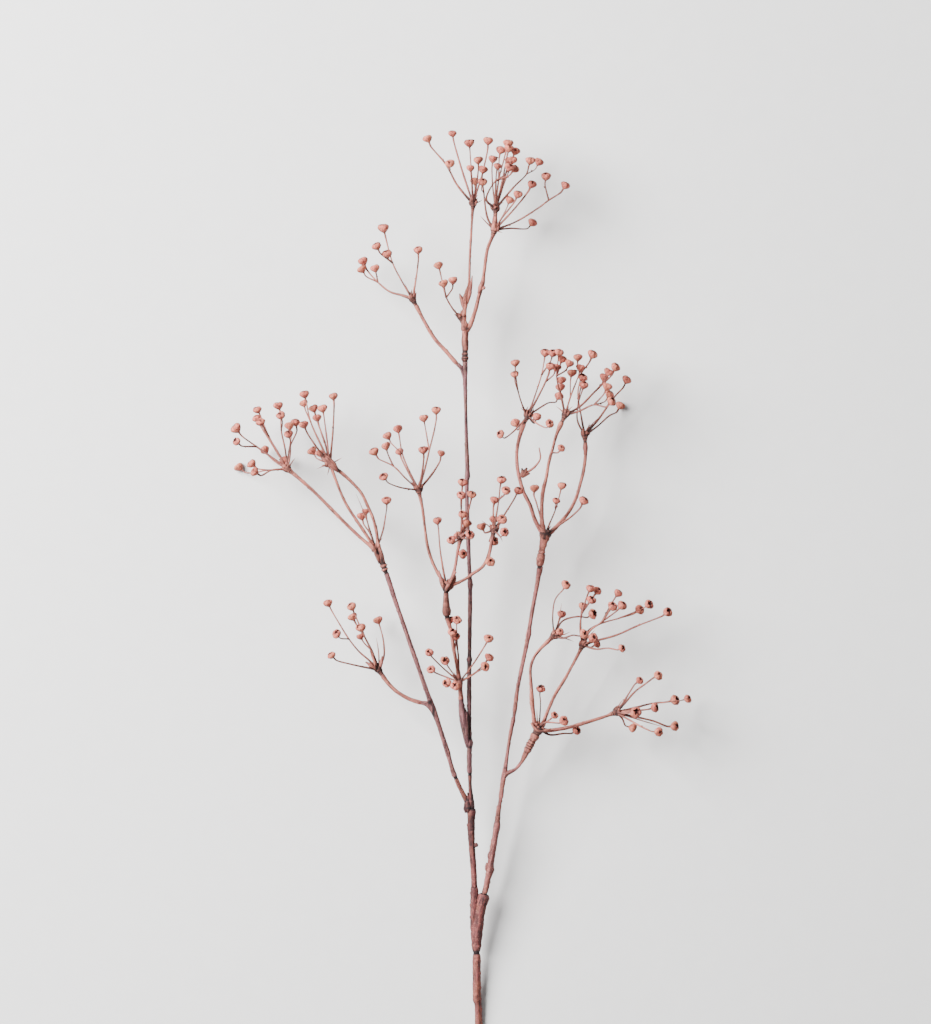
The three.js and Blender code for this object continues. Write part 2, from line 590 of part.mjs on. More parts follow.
        stalks: [
          stalk([[143.5, 304]], [[117, 280.5], [126, 291], [135, 298]]),
          stalk([[129.5, 299, 0.85]], [[117, 282]]), pod(141, 278),
          stalk([[157.5, 283.5, 1.1], [167.5, 285, 0.9]], [[124, 277], [140, 281]]),
          pod(125.5, 275, 1.2), stalk([[124, 261.5]], [[116, 269]]), stalk([[143.5, 259.5]], [[122, 268]]),
          stalk([[157.5, 262.5, 1.05]], [[124, 271], [141, 267]]),
        ],
        spikes: [[117, 285], [150, 262]],
      },
    ],
  },
  {
    name: 'branch_centre',
    joint: 'centreBranch',
    stem: [
      [-13.5, 288, 45.4, 1.65], [-14, 293, 46.4, 1.6], [-14.5, 298, 47.4, 2.4], [-15, 302, 48.2, 1.7],
      [-16.3, 311, 49.8, 1.35], [-19, 325, 52.2, 1.3], [-21, 339, 54.6, 1.3], [-23.2, 346.5, 55.9, 1.45],
    ],
    ends: 'centreHead',
    umbels: [
      {
        at: [-14.5, 298.5, 48], bare: true, facing: [0.1, 0.3, 1], reach: 46, depth: [4, 26],
        stalks: [
          pod(-38, 322.5, 0.9), pod(-36.5, 308.5, 0.9), pod(-25.5, 315.5), stalk([[-24, 298], [-18, 296]]),
          stalk([[-20, 338], [-17, 334.5, 0.9]], [[-18, 318]]),
          stalk([[-22, 347.5, 0.9], [-16.5, 348]], [[-16, 325]]),
          stalk([[8.5, 333]], [[-3, 314]]), stalk([[9, 318], [5.5, 311]], [[-2, 306]]),
        ],
        spikes: [[-10, 306], [-19, 307]],
      },
    ],
  },
];

// The nodes that touch the surface lose what would reach under it, which leaves small flat spots.
const RESTING = ['head_left', 'head_right_top'];

// Geometry

const UPRIGHT = new THREE.Vector3(0, 0, 1);
const STEEP = 0.9; // a rod that starts steeper than this takes its first side from the X axis

const vector = (values) => new THREE.Vector3(...values);

// Turns a closed three.js geometry into a solid that can be joined and cut.
function solidFrom(geometry) {
  geometry.deleteAttribute('normal');
  geometry.deleteAttribute('uv');
  const merged = mergeVertices(geometry);
  const corners = merged.index.array;
  const triangles = [];
  for (let i = 0; i < corners.length; i += 3) {
    const [a, b, c] = corners.slice(i, i + 3);
    if (a !== b && b !== c && c !== a) triangles.push(a, b, c);
  }
  return new wasm.Manifold(new wasm.Mesh({
    numProp: 3,
    vertProperties: new Float32Array(merged.attributes.position.array),
    triVerts: new Uint32Array(triangles),
  }));
}

// Turns a solid back into a flat-shaded geometry. The largest body alone is kept, so a hollow that the
// joining has sealed is filled.
function geometryFrom(solid) {
  const bodies = solid.decompose().sort((a, b) => b.volume() - a.volume());
  const mesh = bodies[0].getMesh();
  const geometry = new THREE.BufferGeometry();
  geometry.setAttribute('position', new THREE.BufferAttribute(new Float32Array(mesh.vertProperties), 3));
  geometry.setIndex(new THREE.BufferAttribute(new Uint32Array(mesh.triVerts), 1));
  return geometry;
}

// Lathes a stack of rings, each with a centre, a direction and a radius, into one closed rod: the
// outline is turned about a straight axis, and its corners are then moved onto the rings. On a slim
// ring the corners fall together two by two, so six sides run on as three.
function rod(rings, sides) {
  const rows = [{ ...rings[0], radius: 0 }, ...rings];
  if (rings[rings.length - 1].radius > 0) rows.push({ ...rings[rings.length - 1], radius: 0 });
  const outline = rows.map((row, index) => new THREE.Vector2(row.radius, index));
  const geometry = new THREE.LatheGeometry(outline, sides);
  const start = rows[0].along;
  const steep = Math.abs(start.z) > STEEP * start.length();
  let side = start.clone().cross(steep ? new THREE.Vector3(1, 0, 0) : UPRIGHT);
  const frames = rows.map((row) => {
    const along = row.along.clone().normalize();
    side = side.clone().addScaledVector(along, -side.dot(along)).normalize();
    return { side, above: side.clone().cross(along) };
  });
  const place = geometry.attributes.position;
  for (let i = 0; i < place.count; i += 1) {
    const index = i % rows.length;
    const { centre, radius, slim } = rows[index];
    const corner = Math.floor(i / rows.length) % sides;
    const angle = (Math.PI * (2 * (slim ? corner - (corner % 2) : corner) + 1)) / sides;
    const point = centre.clone()
      .addScaledVector(frames[index].side, radius * Math.sin(angle))
      .addScaledVector(frames[index].above, radius * Math.cos(angle));
    place.setXYZ(i, point.x, point.y, point.z);
  }
  return solidFrom(geometry);
}

// Rings through rows of x, y, z and radius, set square to the smooth curve through their places
function ringsThrough(rows) {
  const curve = new THREE.CatmullRomCurve3(rows.map((row) => vector(row.slice(0, 3))), false, 'centripetal');
  return rows.map((row, index) => ({
    centre: curve.points[index].clone(),
    along: curve.getTangent(index / (rows.length - 1)),
    radius: row[3],
  }));
}

const alongJoint = (joint) => vector(joint.along).normalize();

// The ring at a joint, moved along it by an offset
const jointRing = (joint, offset, radius) => ({
  centre: vector(joint.at).addScaledVector(alongJoint(joint), offset),
  along: alongJoint(joint),
  radius,
});

// A run of stem, squared off at the joints that it starts and ends at, or swollen where an umbel ends it
function stemRun({ rows, starts, ends, knob }) {
  const first = starts && JOINTS[starts];
  const last = ends && JOINTS[ends];
  const all = [...rows];
  const foot = first && (first.foot ?? first.radius);
  if (first) all.unshift([...first.at, foot]);
  if (last) all.push([...last.at, last.radius]);
  if (knob) all.push([...knob.at, KNOB_RADIUS]);
  const rings = ringsThrough(all);
  if (first) rings[0] = jointRing(first, JOINT_GAP, foot);
  if (last) rings[rings.length - 1] = jointRing(last, 0, last.radius);
  rings.forEach((ring) => { ring.radius += STEM_EDGE; });
  if (knob) {
    const { centre, along } = rings.pop();
    rings.push(...knobRings(centre, along, knob.knob ?? 1));
  }
  const thick = Math.max(...rings.map((ring) => ring.radius)) > THICK_RADIUS && !knob;
  return rod(rings, thick ? THICK_SIDES : STEM_SIDES);
}

// The peg that stands up out of the lower piece of a joint, and the bore that it stands in
const peg = (joint) => rod([
  jointRing(joint, -PEG_ROOT, joint.peg),
  jointRing(joint, PEG_LENGTH, joint.peg),
], RAY_SIDES);
const bore = (joint) => rod([
  jointRing(joint, -BORE_MOUTH, joint.peg + JOINT_GAP),
  jointRing(joint, PEG_LENGTH + JOINT_GAP, joint.peg + JOINT_GAP),
], RAY_SIDES);

// A block that fills the space under the surface
function underSurface() {
  const block = new THREE.BoxGeometry(...SURFACE_BLOCK);
  block.translate(0, 0, -SURFACE_BLOCK[2] / 2);
  return solidFrom(block);
}

// A piece of stem: its runs grown together, with a peg on each end that carries the next piece
function stemPiece({ runs, bores = [], rests = false }) {
  const pegs = runs.filter((run) => run.ends).map((run) => peg(JOINTS[run.ends]));
  const parts = [...runs.map(stemRun), ...pegs];
  let solid = wasm.Manifold.union(parts);
  bores.forEach((name) => { solid = solid.subtract(bore(JOINTS[name])); });
  return rests ? solid.subtract(underSurface()) : solid;
}

// A pointed bract or bare stalk from one place to another
function spike(from, to) {
  const along = to.clone().sub(from);
  return rod([{ centre: from, along, radius: BRACT_RADIUS }, { centre: to, along, radius: 0 }], BRACT_SIDES);
}

// The swollen end of a ray, where the stalks of an umbel meet
const knobRings = (centre, along, size) => [
  { centre, along, radius: KNOB_RADIUS * size },
  { centre: centre.clone().addScaledVector(along, KNOB_HEIGHT * size), along, radius: KNOB_TOP * size },
];

// How far over or under its umbel a pod stands: its stalk is as long as its neighbours', so what the
// plan shortens goes into depth, up and down by turns.
function podHeight(umbel, [x, y], turn) {
  const [x0, y0, z0] = umbel.at;
  const spare = Math.sqrt(Math.max(0, umbel.reach ** 2 - (x - x0) ** 2 - (y - y0) ** 2));
  return z0 + THREE.MathUtils.clamp(spare * turn, ...umbel.depth);
}

// A pod on its stalk, as one rod: the stalk follows a curve from its root, starting some way out of it, and
// the pod's own rings go on straight from its end.
function podOnStalk(root, out, via, centre, facing, size) {
  const height = POD_HEIGHT * size;
  const lastStop = via.length ? via[via.length - 1] : root;
  const outward = centre.clone().sub(lastStop).normalize();
  const axis = outward.multiplyScalar(POD_OUTWARD).addScaledVector(facing, POD_FACING).normalize();
  const neck = centre.clone().addScaledVector(axis, -height / 2);
  const length = neck.distanceTo(lastStop);
  const foot = root.clone().add((via[0] ?? neck).clone().sub(root).setLength(out));
  const places = [foot, ...via];
  if (length > BENT_STALK) {
    places.push(neck.clone().lerp(lastStop, BEND_PLACE).addScaledVector(axis, -length * STALK_BEND));
  }
  places.push(neck);
  const rings = ringsThrough(places.map((place) => [...place.toArray(), STALK_RADIUS]));
  rings[rings.length - 1].along = axis;
  rings.forEach((ring) => { ring.slim = true; });
  rings[0].radius = STALK_FOOT_RADIUS;
  POD_OUTLINE.forEach(([share, width]) => rings.push({
    centre: neck.clone().addScaledVector(axis, height * share),
    along: axis,
    radius: POD_RADIUS * size * width,
  }));
  rings.push({ centre: neck.clone().addScaledVector(axis, height * DIMPLE_FLOOR), along: axis, radius: 0 });
  return rod(rings, POD_SIDES);
}

// Pods never grow through each other: one that would stands higher or lower, by turns, until it is clear.
function clearPlace(place, others) {
  for (let step = 0; step < CLEAR_TRIES; step += 1) {
    const moved = place.clone();
    moved.z += (step % 2 ? -1 : 1) * Math.ceil(step / 2) * CLEAR_STEP;
    if (others.every((other) => other.distanceTo(moved) > POD_CLEARANCE)) return moved;
  }
  return place;
}

// A forked stalk: the first pod ends it, and the others leave it at its last stop.
function stalkWithPods(umbel, { pods, via }, index, placed) {
  const root = vector(umbel.at);
  const facing = vector(umbel.facing).normalize();
  const turn = TURNS[index % TURNS.length];
  const places = pods.map(([x, y, , height], fork) => {
    const step = fork * FORK_STEP * (turn > 0 ? -1 : 1);
    const place = new THREE.Vector3(x, y, height ?? podHeight(umbel, [x, y], turn) + step);
    const clear = height ? place : clearPlace(place, placed);
    placed.push(clear);
    return clear;
  });
  const plan = (x, y) => Math.hypot(x - root.x, y - root.y);
  const stops = via.map(([x, y]) => {
    const share = plan(x, y) / plan(places[0].x, places[0].y);
    return new THREE.Vector3(x, y, THREE.MathUtils.lerp(root.z, places[0].z, Math.min(share, 1)));
  });
  return places.map((place, fork) => {
    const size = pods[fork][2] ?? 1;
    if (fork && stops.length) return podOnStalk(stops[stops.length - 1], 0, [], place, facing, size);
    return podOnStalk(root, umbel.bare ? 0 : STALK_FOOT, fork ? [] : stops, place, facing, size);
  });
}

// Bracts round the foot of an umbel, spread evenly about the way it faces
function bracts(umbel, along) {
  const centre = vector(umbel.at);
  const across = along.clone().cross(UPRIGHT).normalize();
  const above = across.clone().cross(along).normalize();
  return Array.from({ length: BRACTS_PER_UMBEL }, (_, index) => {
    const angle = (2 * Math.PI * (index + umbel.at[0] * BRACT_TURN)) / BRACTS_PER_UMBEL;
    const tip = centre.clone()
      .addScaledVector(along, BRACT_RISE)
      .addScaledVector(across, Math.cos(angle) * BRACT_SPREAD)
      .addScaledVector(above, Math.sin(angle) * BRACT_SPREAD);
    return spike(centre, tip);
  });
}

// The ray under an umbel, its swollen knob, and all that stands on it
function umbelParts(umbel, placed) {
  const centre = vector(umbel.at);
  const parts = umbel.stalks.flatMap((one, index) => stalkWithPods(umbel, one, index, placed));
  let along = vector(umbel.facing).normalize();
  if (umbel.ray) {
    const reach = umbel.ray.map(([x, y]) => Math.hypot(x - umbel.ray[0][0], y - umbel.ray[0][1]));
    const whole = Math.hypot(centre.x - umbel.ray[0][0], centre.y - umbel.ray[0][1]);
    const rows = umbel.ray.map(([x, y, radius], index) => [
      x, y, THREE.MathUtils.lerp(umbel.startHeight, centre.z, Math.min(reach[index] / whole, 1)),
      radius * (RAY_FLARE[index] ?? 1) + RAY_EDGE,
    ]);
    rows.push([...umbel.at, KNOB_RADIUS]);
    const rings = ringsThrough(rows);
    along = rings.pop().along;
    parts.push(rod([...rings, ...knobRings(centre, along, 1)], RAY_SIDES));
  }
  if (!umbel.bare) parts.push(...bracts(umbel, along));
  (umbel.spikes ?? []).forEach(([x, y], index) => {
    parts.push(spike(centre, new THREE.Vector3(x, y, centre.z + SPIKE_RISE[index % 2])));
  });
  return parts;
}

// A head: its stem, umbels and spurs grown together. ends names a joint that carries a further head.
function headPiece({ name, joint, stem, umbels, spurs = [], ends }) {
  const start = JOINTS[joint];
  const parts = [stemRun({ rows: stem, starts: joint, ends, knob: !ends && !umbels[0].ray && umbels[0] })];
  const placed = [];
  umbels.forEach((umbel) => parts.push(...umbelParts(umbel, placed)));
  spurs.forEach((spur) => parts.push(rod(ringsThrough(spur), RAY_SIDES)));
  if (ends) parts.push(peg(JOINTS[ends]));
  const solid = wasm.Manifold.union(parts).subtract(bore(start));
  return RESTING.includes(name) ? solid.subtract(underSurface()) : solid;
}

// The whole stem
const plant = new THREE.Group();

function addPiece(name, solid, shade) {
  const mesh = new THREE.Mesh(geometryFrom(solid), shade);
  mesh.name = name;
  plant.add(mesh);
}

STEMS.forEach((stem) => addPiece(stem.name, stemPiece(stem), SHADES.stem));
HEADS.forEach((head) => addPiece(head.name, headPiece(head), SHADES.head));

// The origin is under the middle of the plan, on the surface.
const box = new THREE.Box3().setFromObject(plant);
plant.position.set(-(box.min.x + box.max.x) / 2, -(box.min.y + box.max.y) / 2, -box.min.z);

export default plant;
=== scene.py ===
import math

import bpy
import numpy as np
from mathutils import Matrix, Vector


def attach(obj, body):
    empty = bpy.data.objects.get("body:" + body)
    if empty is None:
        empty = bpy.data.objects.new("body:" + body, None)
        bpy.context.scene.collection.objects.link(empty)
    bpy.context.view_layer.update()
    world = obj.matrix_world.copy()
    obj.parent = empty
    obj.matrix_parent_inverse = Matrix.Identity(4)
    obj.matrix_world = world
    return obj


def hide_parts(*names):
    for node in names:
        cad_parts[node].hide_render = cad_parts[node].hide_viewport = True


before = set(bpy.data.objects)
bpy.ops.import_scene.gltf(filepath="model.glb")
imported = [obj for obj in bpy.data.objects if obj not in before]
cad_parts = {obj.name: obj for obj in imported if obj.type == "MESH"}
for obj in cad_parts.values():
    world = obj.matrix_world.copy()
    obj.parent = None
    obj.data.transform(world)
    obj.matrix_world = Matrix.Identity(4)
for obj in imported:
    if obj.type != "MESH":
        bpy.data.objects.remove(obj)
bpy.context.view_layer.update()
scene = bpy.context.scene

MM = 0.001
PLAN_PLACE = (13.3, -362.39, 0)  # where the plan's origin, by the cut end, lies in the frame
UP = np.array([0.0, 0.0, 1.0])
RIGHT = np.array([1.0, 0.0, 0.0])
STEEP = 0.9  # the upward share of a direction from which its sides are taken from RIGHT, not from UP
SEED = 41
HEAD_SEED = 141

# The camera, the surface and the lights, in metres in the frame
SENSOR = 36
CAMERA_DISTANCE = 5
VIEW_HEIGHT = 0.8192
VIEW_DEPTH = 0.045
VIEW_MIDDLE = (0.0037, 0.0722)
FLOOR_SIZE = 8
FLOOR_DROP = -0.0002
FLOOR_LOW = (240, 239, 238)
FLOOR_HIGH = (246, 245, 244)
FLOOR_GRAIN = (1, 60, 3)  # a noise, as those of the skins, but with its scale in a metre
FLOOR_ROUGHNESS = 0.9
SKY_STRENGTH = 0.2
LIGHTS = (
    dict(name="window", place=(-1.9, 1.0, 1.8), size=1.8, power=350),
    dict(name="room", place=(1.8, -1.0, 2.0), size=2.0, power=4),
)

# Each skin: how much its fibres change along the growth and how strong its relief is, then its colours
# from 0 to 255: pale, deep, dusky for cracks and for painted shade, of its flecks and of its patches
SKINS = dict(
    stem_bark=(0.12, 0.8, (136, 69, 66), (82, 40, 41), (38, 20, 22), (196, 128, 110), (142, 82, 64)),
    branch_bark=(0.12, 0.8, (164, 94, 90), (94, 50, 50), (36, 18, 20), (204, 146, 132), (138, 80, 64)),
    plum_bark=(0.12, 0.8, (142, 90, 92), (82, 46, 50), (32, 18, 22), (176, 124, 122), (112, 76, 60)),
    stalk_skin=(0.12, 0.7, (190, 112, 96), (118, 62, 54), (44, 22, 20), (212, 154, 130), (150, 82, 78)),
    pod_husk=(0.5, 0.7, (224, 122, 103), (154, 70, 58), (80, 36, 32), (232, 156, 134), (186, 112, 80)),
    mauve_bark=(0.12, 0.8, (144, 86, 86), (84, 46, 48), (34, 18, 20), (192, 138, 128), (126, 78, 68)),
)
SKIN_OF_STEM = dict(stem_centre="plum_bark", branch_left="mauve_bark", branch_right="branch_bark")
RELIEF_DEPTH = 0.0003
# The noises in a skin: how much each changes along the growth, its scale in a millimetre, and its detail.
# The first two change along the growth as the skin says.
FIBRES = (2.2, 4)
STREAKS = (0.75, 2)
CLOUDS = (0.5, 0.22, 3)
SPECKS = (1, 1.3, 2)
PATCHES = (0.22, 0.3, 2)
MOTTLES = (0.35, 0.5, 2)
# Where each layer of colour begins and is full in what it follows, and how strong it is
DYED = (0.58, 0.9)
PATCHED = (0.5, 0.62, 0.6)
MOTTLED = (0.48, 0.6, 0.5)
FLECKED = (0.56, 0.72, 0.6)
CRACKED = (0.37, 0.47)
CRACK_DUSK = 0.7
# DUSKY is the layer of painted shade
DUSKY = (0.05, 0.85, 1)
# What the layers follow and what the relief is made of, as shares of the noises
DYE_SHARES = (0.4, 0.6, 0.5, 0.06)  # of fibres, streaks, clouds and the tint of each shoot
PATCH_TINT = 0.1  # what that tint adds to the patches
CRACK_SHARES = (0.5, 0.5)  # of streaks and fibres
DUSK_FIBRES = 0.25  # what fibres add to the painted shade, and how much this has to pass to show
DUSK_LEVEL = 0.12
RELIEF_SHARES = (0.4, 0.4, 0.3, 0.5)  # of fibres, streaks, specks and cracks
ROUGHNESS = (0.2, 0.08, 0.7)  # what fibres and the painted shade add to it, and what a skin has anyway

# Pods and what carries them
POD_RADIUS = 3.8  # half the width of an ordinary pod at its shoulder
POD_HEIGHT = 6.6  # from the end of the stalk to the rim
# A pod from its foot over the rim to the bottom of its dimple: height and half width as shares of
# POD_HEIGHT and POD_RADIUS, how far its lobes show, whether it is inside the rim, and the shade painted there
POD_PROFILE = (
    (-0.02, 0.12, 0, 0, 0.6), (0.05, 0.16, 0, 0, 0.5), (0.11, 0.26, 0, 0, 0.35), (0.18, 0.41, 0.1, 0, 0.2),
    (0.27, 0.59, 0.2, 0, 0.1), (0.37, 0.76, 0.35, 0, 0.05), (0.47, 0.9, 0.5, 0, 0), (0.57, 1, 0.7, 0, 0),
    (0.67, 1.05, 0.85, 0, 0), (0.76, 1.03, 1, 0, 0), (0.84, 0.95, 1, 0, 0), (0.91, 0.83, 1, 0, 0),
    (0.97, 0.7, 1, 0.1, 0), (1, 0.58, 1, 0.35, 0.1), (0.99, 0.49, 1, 0.7, 0.3), (0.94, 0.42, 1, 1, 0.55),
    (0.86, 0.37, 1, 1, 0.8), (0.77, 0.31, 0.8, 1, 1), (0.69, 0.22, 0.5, 1, 1), (0.65, 0.1, 0.2, 1, 1),
)
POD_SIDES = 32
POD_LOBES = (3, 4, 5, 5)
LOBE_SHIFT = 0.2  # how far a cleft is from its even place, as a share of the way to the next
CLEFT_WIDTH = (0.16, 0.36)  # of a cleft between two lobes, in radians
CLEFT_DEPTH = (0.2, 1)
CLEFT_CUT = 0.17  # how much narrower a pod is at a deep cleft, and how much lower its rim is there
CLEFT_SINK = 0.07
POD_OPENING = (0.6, 1.35)  # the width of a pod's dimple, from nearly closed to wide open
OPENING_ROUND = 0.68  # the share of that width between the clefts, and what a deep cleft adds
OPENING_STAR = 1.25
DIMPLE_SHIFT = 0.16  # how far the dimple is off the middle, as a share of the pod's half width
RIM_TILT = 0.05
RIM_UNEVEN = 0.03
# What makes a pod uneven: waves round it, their height, and how much they turn from foot to rim
POD_WAVES = ((1, 0.05, 0), (2, 0.05, 0), (3, 0.035, 2))
POD_CREASES = ((7, 0.028, 5), (12, 0.02, -7))
CLEFT_SHADE = 0.33  # how dark a deep cleft is outside the rim, and how much darker it is inside
INNER_SHADE = 0.6
POD_OUTWARD = 0.6  # a pod looks along its stalk by this much
POD_FACING = 0.7  # and the way that its umbel faces by this much
POD_LIFT = (-0.25, 0.3)  # and a little down or up by chance
POD_SEAT = 0.4  # how far a stalk reaches into its pod
STALK_FOOT = 0.7  # how far out from the middle of its umbel a stalk starts
STALK_NECK = 2.5  # the straight end of a stalk under its pod, up to this share of its length
NECK_SHARE = 0.2
STALK_SIDES = 9
STALK_STEP = 1.3
STALK_RELIEF = 0.12
STALK_FLAT = (0.55, 0.9)
STALK_WIDTH = (0.85, 1.2)
BENT_STALK = 26  # a stalk's last stretch bends once where it is longer than this
STALK_BEND = 0.12  # how far it bends, as a share of its length
BEND_PLACE = 0.35  # where it bends, as a share of its length back from the pod
# Half widths of a stalk by share of its length
STALK_TAPER = ((0, 1.35), (0.07, 1.0), (0.2, 0.8), (0.5, 0.68), (0.88, 0.58), (1, 0.75))
FORK_TAPER = ((0, 0.8), (0.15, 0.66), (0.8, 0.54), (1, 0.72))
# The shades at its foot, where it forks off, and under its pod: how dark, and how many millimetres long
STALK_SHADE = (0.7, 4.5)
FORK_SHADE = (0.3, 4.5)
NECK_SHADE = (0.25, 1.5)
BUDDED_STALKS = 0.35  # the share of stalks that carry a small side bud
SIDE_BUD = 1.9  # its length
SIDE_BUD_PLACE = (0.15, 0.7)  # as a share of the stalk's length

# The share of its spare length that a stalk takes upward, or downward where negative, by turns
TURNS = (0.85, -0.7, 0.3, -0.95, 0.6, -0.25, 0.95, -0.5)
FORK_STEP = 7  # how far apart in depth the pods of a forked stalk stand
POD_CLEARANCE = 7.4  # pods nearer than this, middle to middle, would grow through each other
CLEAR_STEP = 2.2
CLEAR_TRIES = 12
LOW_POD = 2.9  # the height of the middle of the two pods that the heads rest on

# Umbels
KNOB_RADIUS = 2.7  # the swollen node where the stalks of an umbel meet
KNOB_ROOM = 0.85  # how far down it may reach, as a share of the stretch under it
# The node's outline from its ringed neck to its crown: height over its widest ring, share of its half width
KNOB_ROUND = (
    (-5.2, 0.5), (-4.5, 0.6), (-3.9, 0.54), (-3.2, 0.7), (-2.6, 0.63), (-1.8, 0.86), (-1.2, 0.8), (0, 1),
    (0.7, 0.98), (1.3, 0.8), (1.7, 0.5), (1.9, 0.2),
)
# The outline of a node that opens as a bowl
KNOB_BOWL = (
    (-5, 0.74), (-3.6, 0.8), (-2.2, 0.92), (-0.8, 1.1), (0.5, 1.24), (1.3, 1.26), (1.6, 1.08), (1.3, 0.7),
    (1, 0.2),
)
TAPER_PLACES = 9  # along a bract, bud, stub or bare stalk
TAPER_RELIEF = 0.08
BOW_VARIES = 0.3  # how far the way that they bow is off level
ROOT_SHADE = 0.95
BRACTS = 7
BRACT_FOOT = (-1.4, 1.1)  # where a bract starts, along its ray and out from it
BRACT_TIP = (4.9, 4.7)  # and where it ends
BRACT_TURN = 0.1 / 3  # the turn of an umbel's bracts for each millimetre of its place, to vary them
BRACT_BOW = 0.9
BRACT_WIDTH = (0.8, 1.1)
FULL_BRACT = 3  # one in so many bracts is whole, and the others are broken off to a share of it
BROKEN_BRACT = (0.55, 0.95)
BRACT_TAPER = ((0, 1.3), (0.3, 1.45), (0.65, 0.95), (1, 0.1))
LONG_BRACTS = 3
LONG_FOOT = (-0.8, 2.6)
LONG_BRACT = (6, 11)  # their lengths
LONG_LEAN = 0.55
LONG_BOW = 1.2
LONG_FLAT = 0.4  # the thickness as a share of the width, here and for stubs and buds
LONG_FADE = 1.6  # how fast their dark foot fades
LONG_TAPER = ((0, 1.2), (0.3, 1.05), (0.7, 0.6), (1, 0.06))
STUBS = 4
STUB_LENGTH = (2.2, 4)
STUB_LEAN = (0.4, 1.1)
STUB_FLAT = 0.9
STUB_TAPER = ((0, 0.95), (0.85, 0.7), (1, 0.4))
BUDS = 14  # small round buds between the bracts of an umbel
BUD_LENGTH = (2, 3.6)
BUD_OUT = (0.3, 2.8)  # where they start, out from the middle of the umbel and along its ray
BUD_ALONG = (-0.6, 2.2)
BUD_LEAN = (0.5, 1.1)
BUD_FLAT = 0.85
BUD_WIDTH = 0.42  # half of it, as a share of the bud's length
BUD_TAPER = ((0, 0.5), (0.3, 1), (0.7, 0.9), (0.9, 0.5), (1, 0.15))
SPIKE_RISE = (4, -3)  # how far over its umbel the tip of a bare stalk ends, by turns
SPIKE_BOW = 1
SPIKE_TAPER = ((0, 0.95), (0.25, 0.62), (0.7, 0.42), (1, 0.06))

# Stems and rays
STEM_SIDES = 22
STEM_STEP = 0.7
STEM_EDGE = 0.24  # what the dark edges of a stem add to the half widths in its rows, and of a ray
RAY_EDGE = 0.14
RAY_SIDES = 14
HEAD_STEM_SIDES = 18
RAY_STEP = 1.0
RAY_FLARE = (0.4, 7)  # how much wider a ray is where it leaves its node, and how far that reaches
TURNED_BACK = 0.3  # a path goes back into itself where it follows its way by less than this
JOINT_GAP = 0.3
# A ring of a collar: half its flat part, how much its edges are lower there, and how much rings vary
RING_FLAT = 0.42
RING_ROUND = 0.12
RING_VARIES = 0.05
RING_TURN = 1.7  # from one ring to the next, in the wave that they vary by
# The round shoulder of a stem at a joint: distance from its end and share of its half width
JOINT_LIP = ((0, 0.88), (0.3, 0.97), (0.8, 1))
JOINT_NECK = ((-0.25, 0.84), (0.25, 0.86), (0.6, 0.96), (1.1, 1))
PLAIN_NECK = ((-0.28, 1), (1, 1))  # of a stem that stands in a wider cup, or is grown on with no ring
GROWN_JOINTS = ("centre_branch", "top", "top_left", "low_left", "right_low")
STEM_RELIEF = 0.07  # as a share of the half width, as all relief is
# Ribs round a stem and swellings along it: count or pitch, and share of the relief
RIBS = ((3, 0.5), (5, 0.5), (8, 0.4), (11, 0.3))
RIB_SWAY = 1.4
SWAY_PITCH = (14, 34)
SWELLINGS = ((0.7, 0.3), (1.6, 0.35), (3.9, 0.45), (9.5, 0.6))
SCAR_SPACING = 9
SCAR_VARIES = (0.5, 1.4)
SCAR_MARGIN = 2  # the ends of a stem that have no scars
# A scar's lump and the nick over it: relief, place up the stem, half length, and half width in radians
SCAR_PARTS = ((0.2, 0, 1.1, 0.6), (-0.12, 1.7, 0.6, 0.5))
GRAIN_RANGE = 400  # each shoot takes its grain from its own place in a block of this size
RELIEF_SHADE = (2.2, 0.5)  # how dark the valleys between ribs are: for each unit of relief, and at most
GROOVE_WINDOW = 7  # a groove is narrower than the stem is on average over this many places
GROOVE_SHADE = (0.36, 0.9)  # how deep a groove is where its shade is full, and its darkest shade
# The shades over a ringed joint, in a wider cup, under a joint and at a knob: how dark, and how long
JOINT_SHADE = (1, 1.2)
CUP_SHADE = (0.35, 2)
LIP_SHADE = (0.8, 0.7)
KNOB_SHADE = (0.8, 3.5)
FLANK_SHADE = 0.42  # the shade painted on the sides and the underside of what lies on the surface
FLANK_START = 0.75  # the upward share of the surface's direction at which that painted shade starts
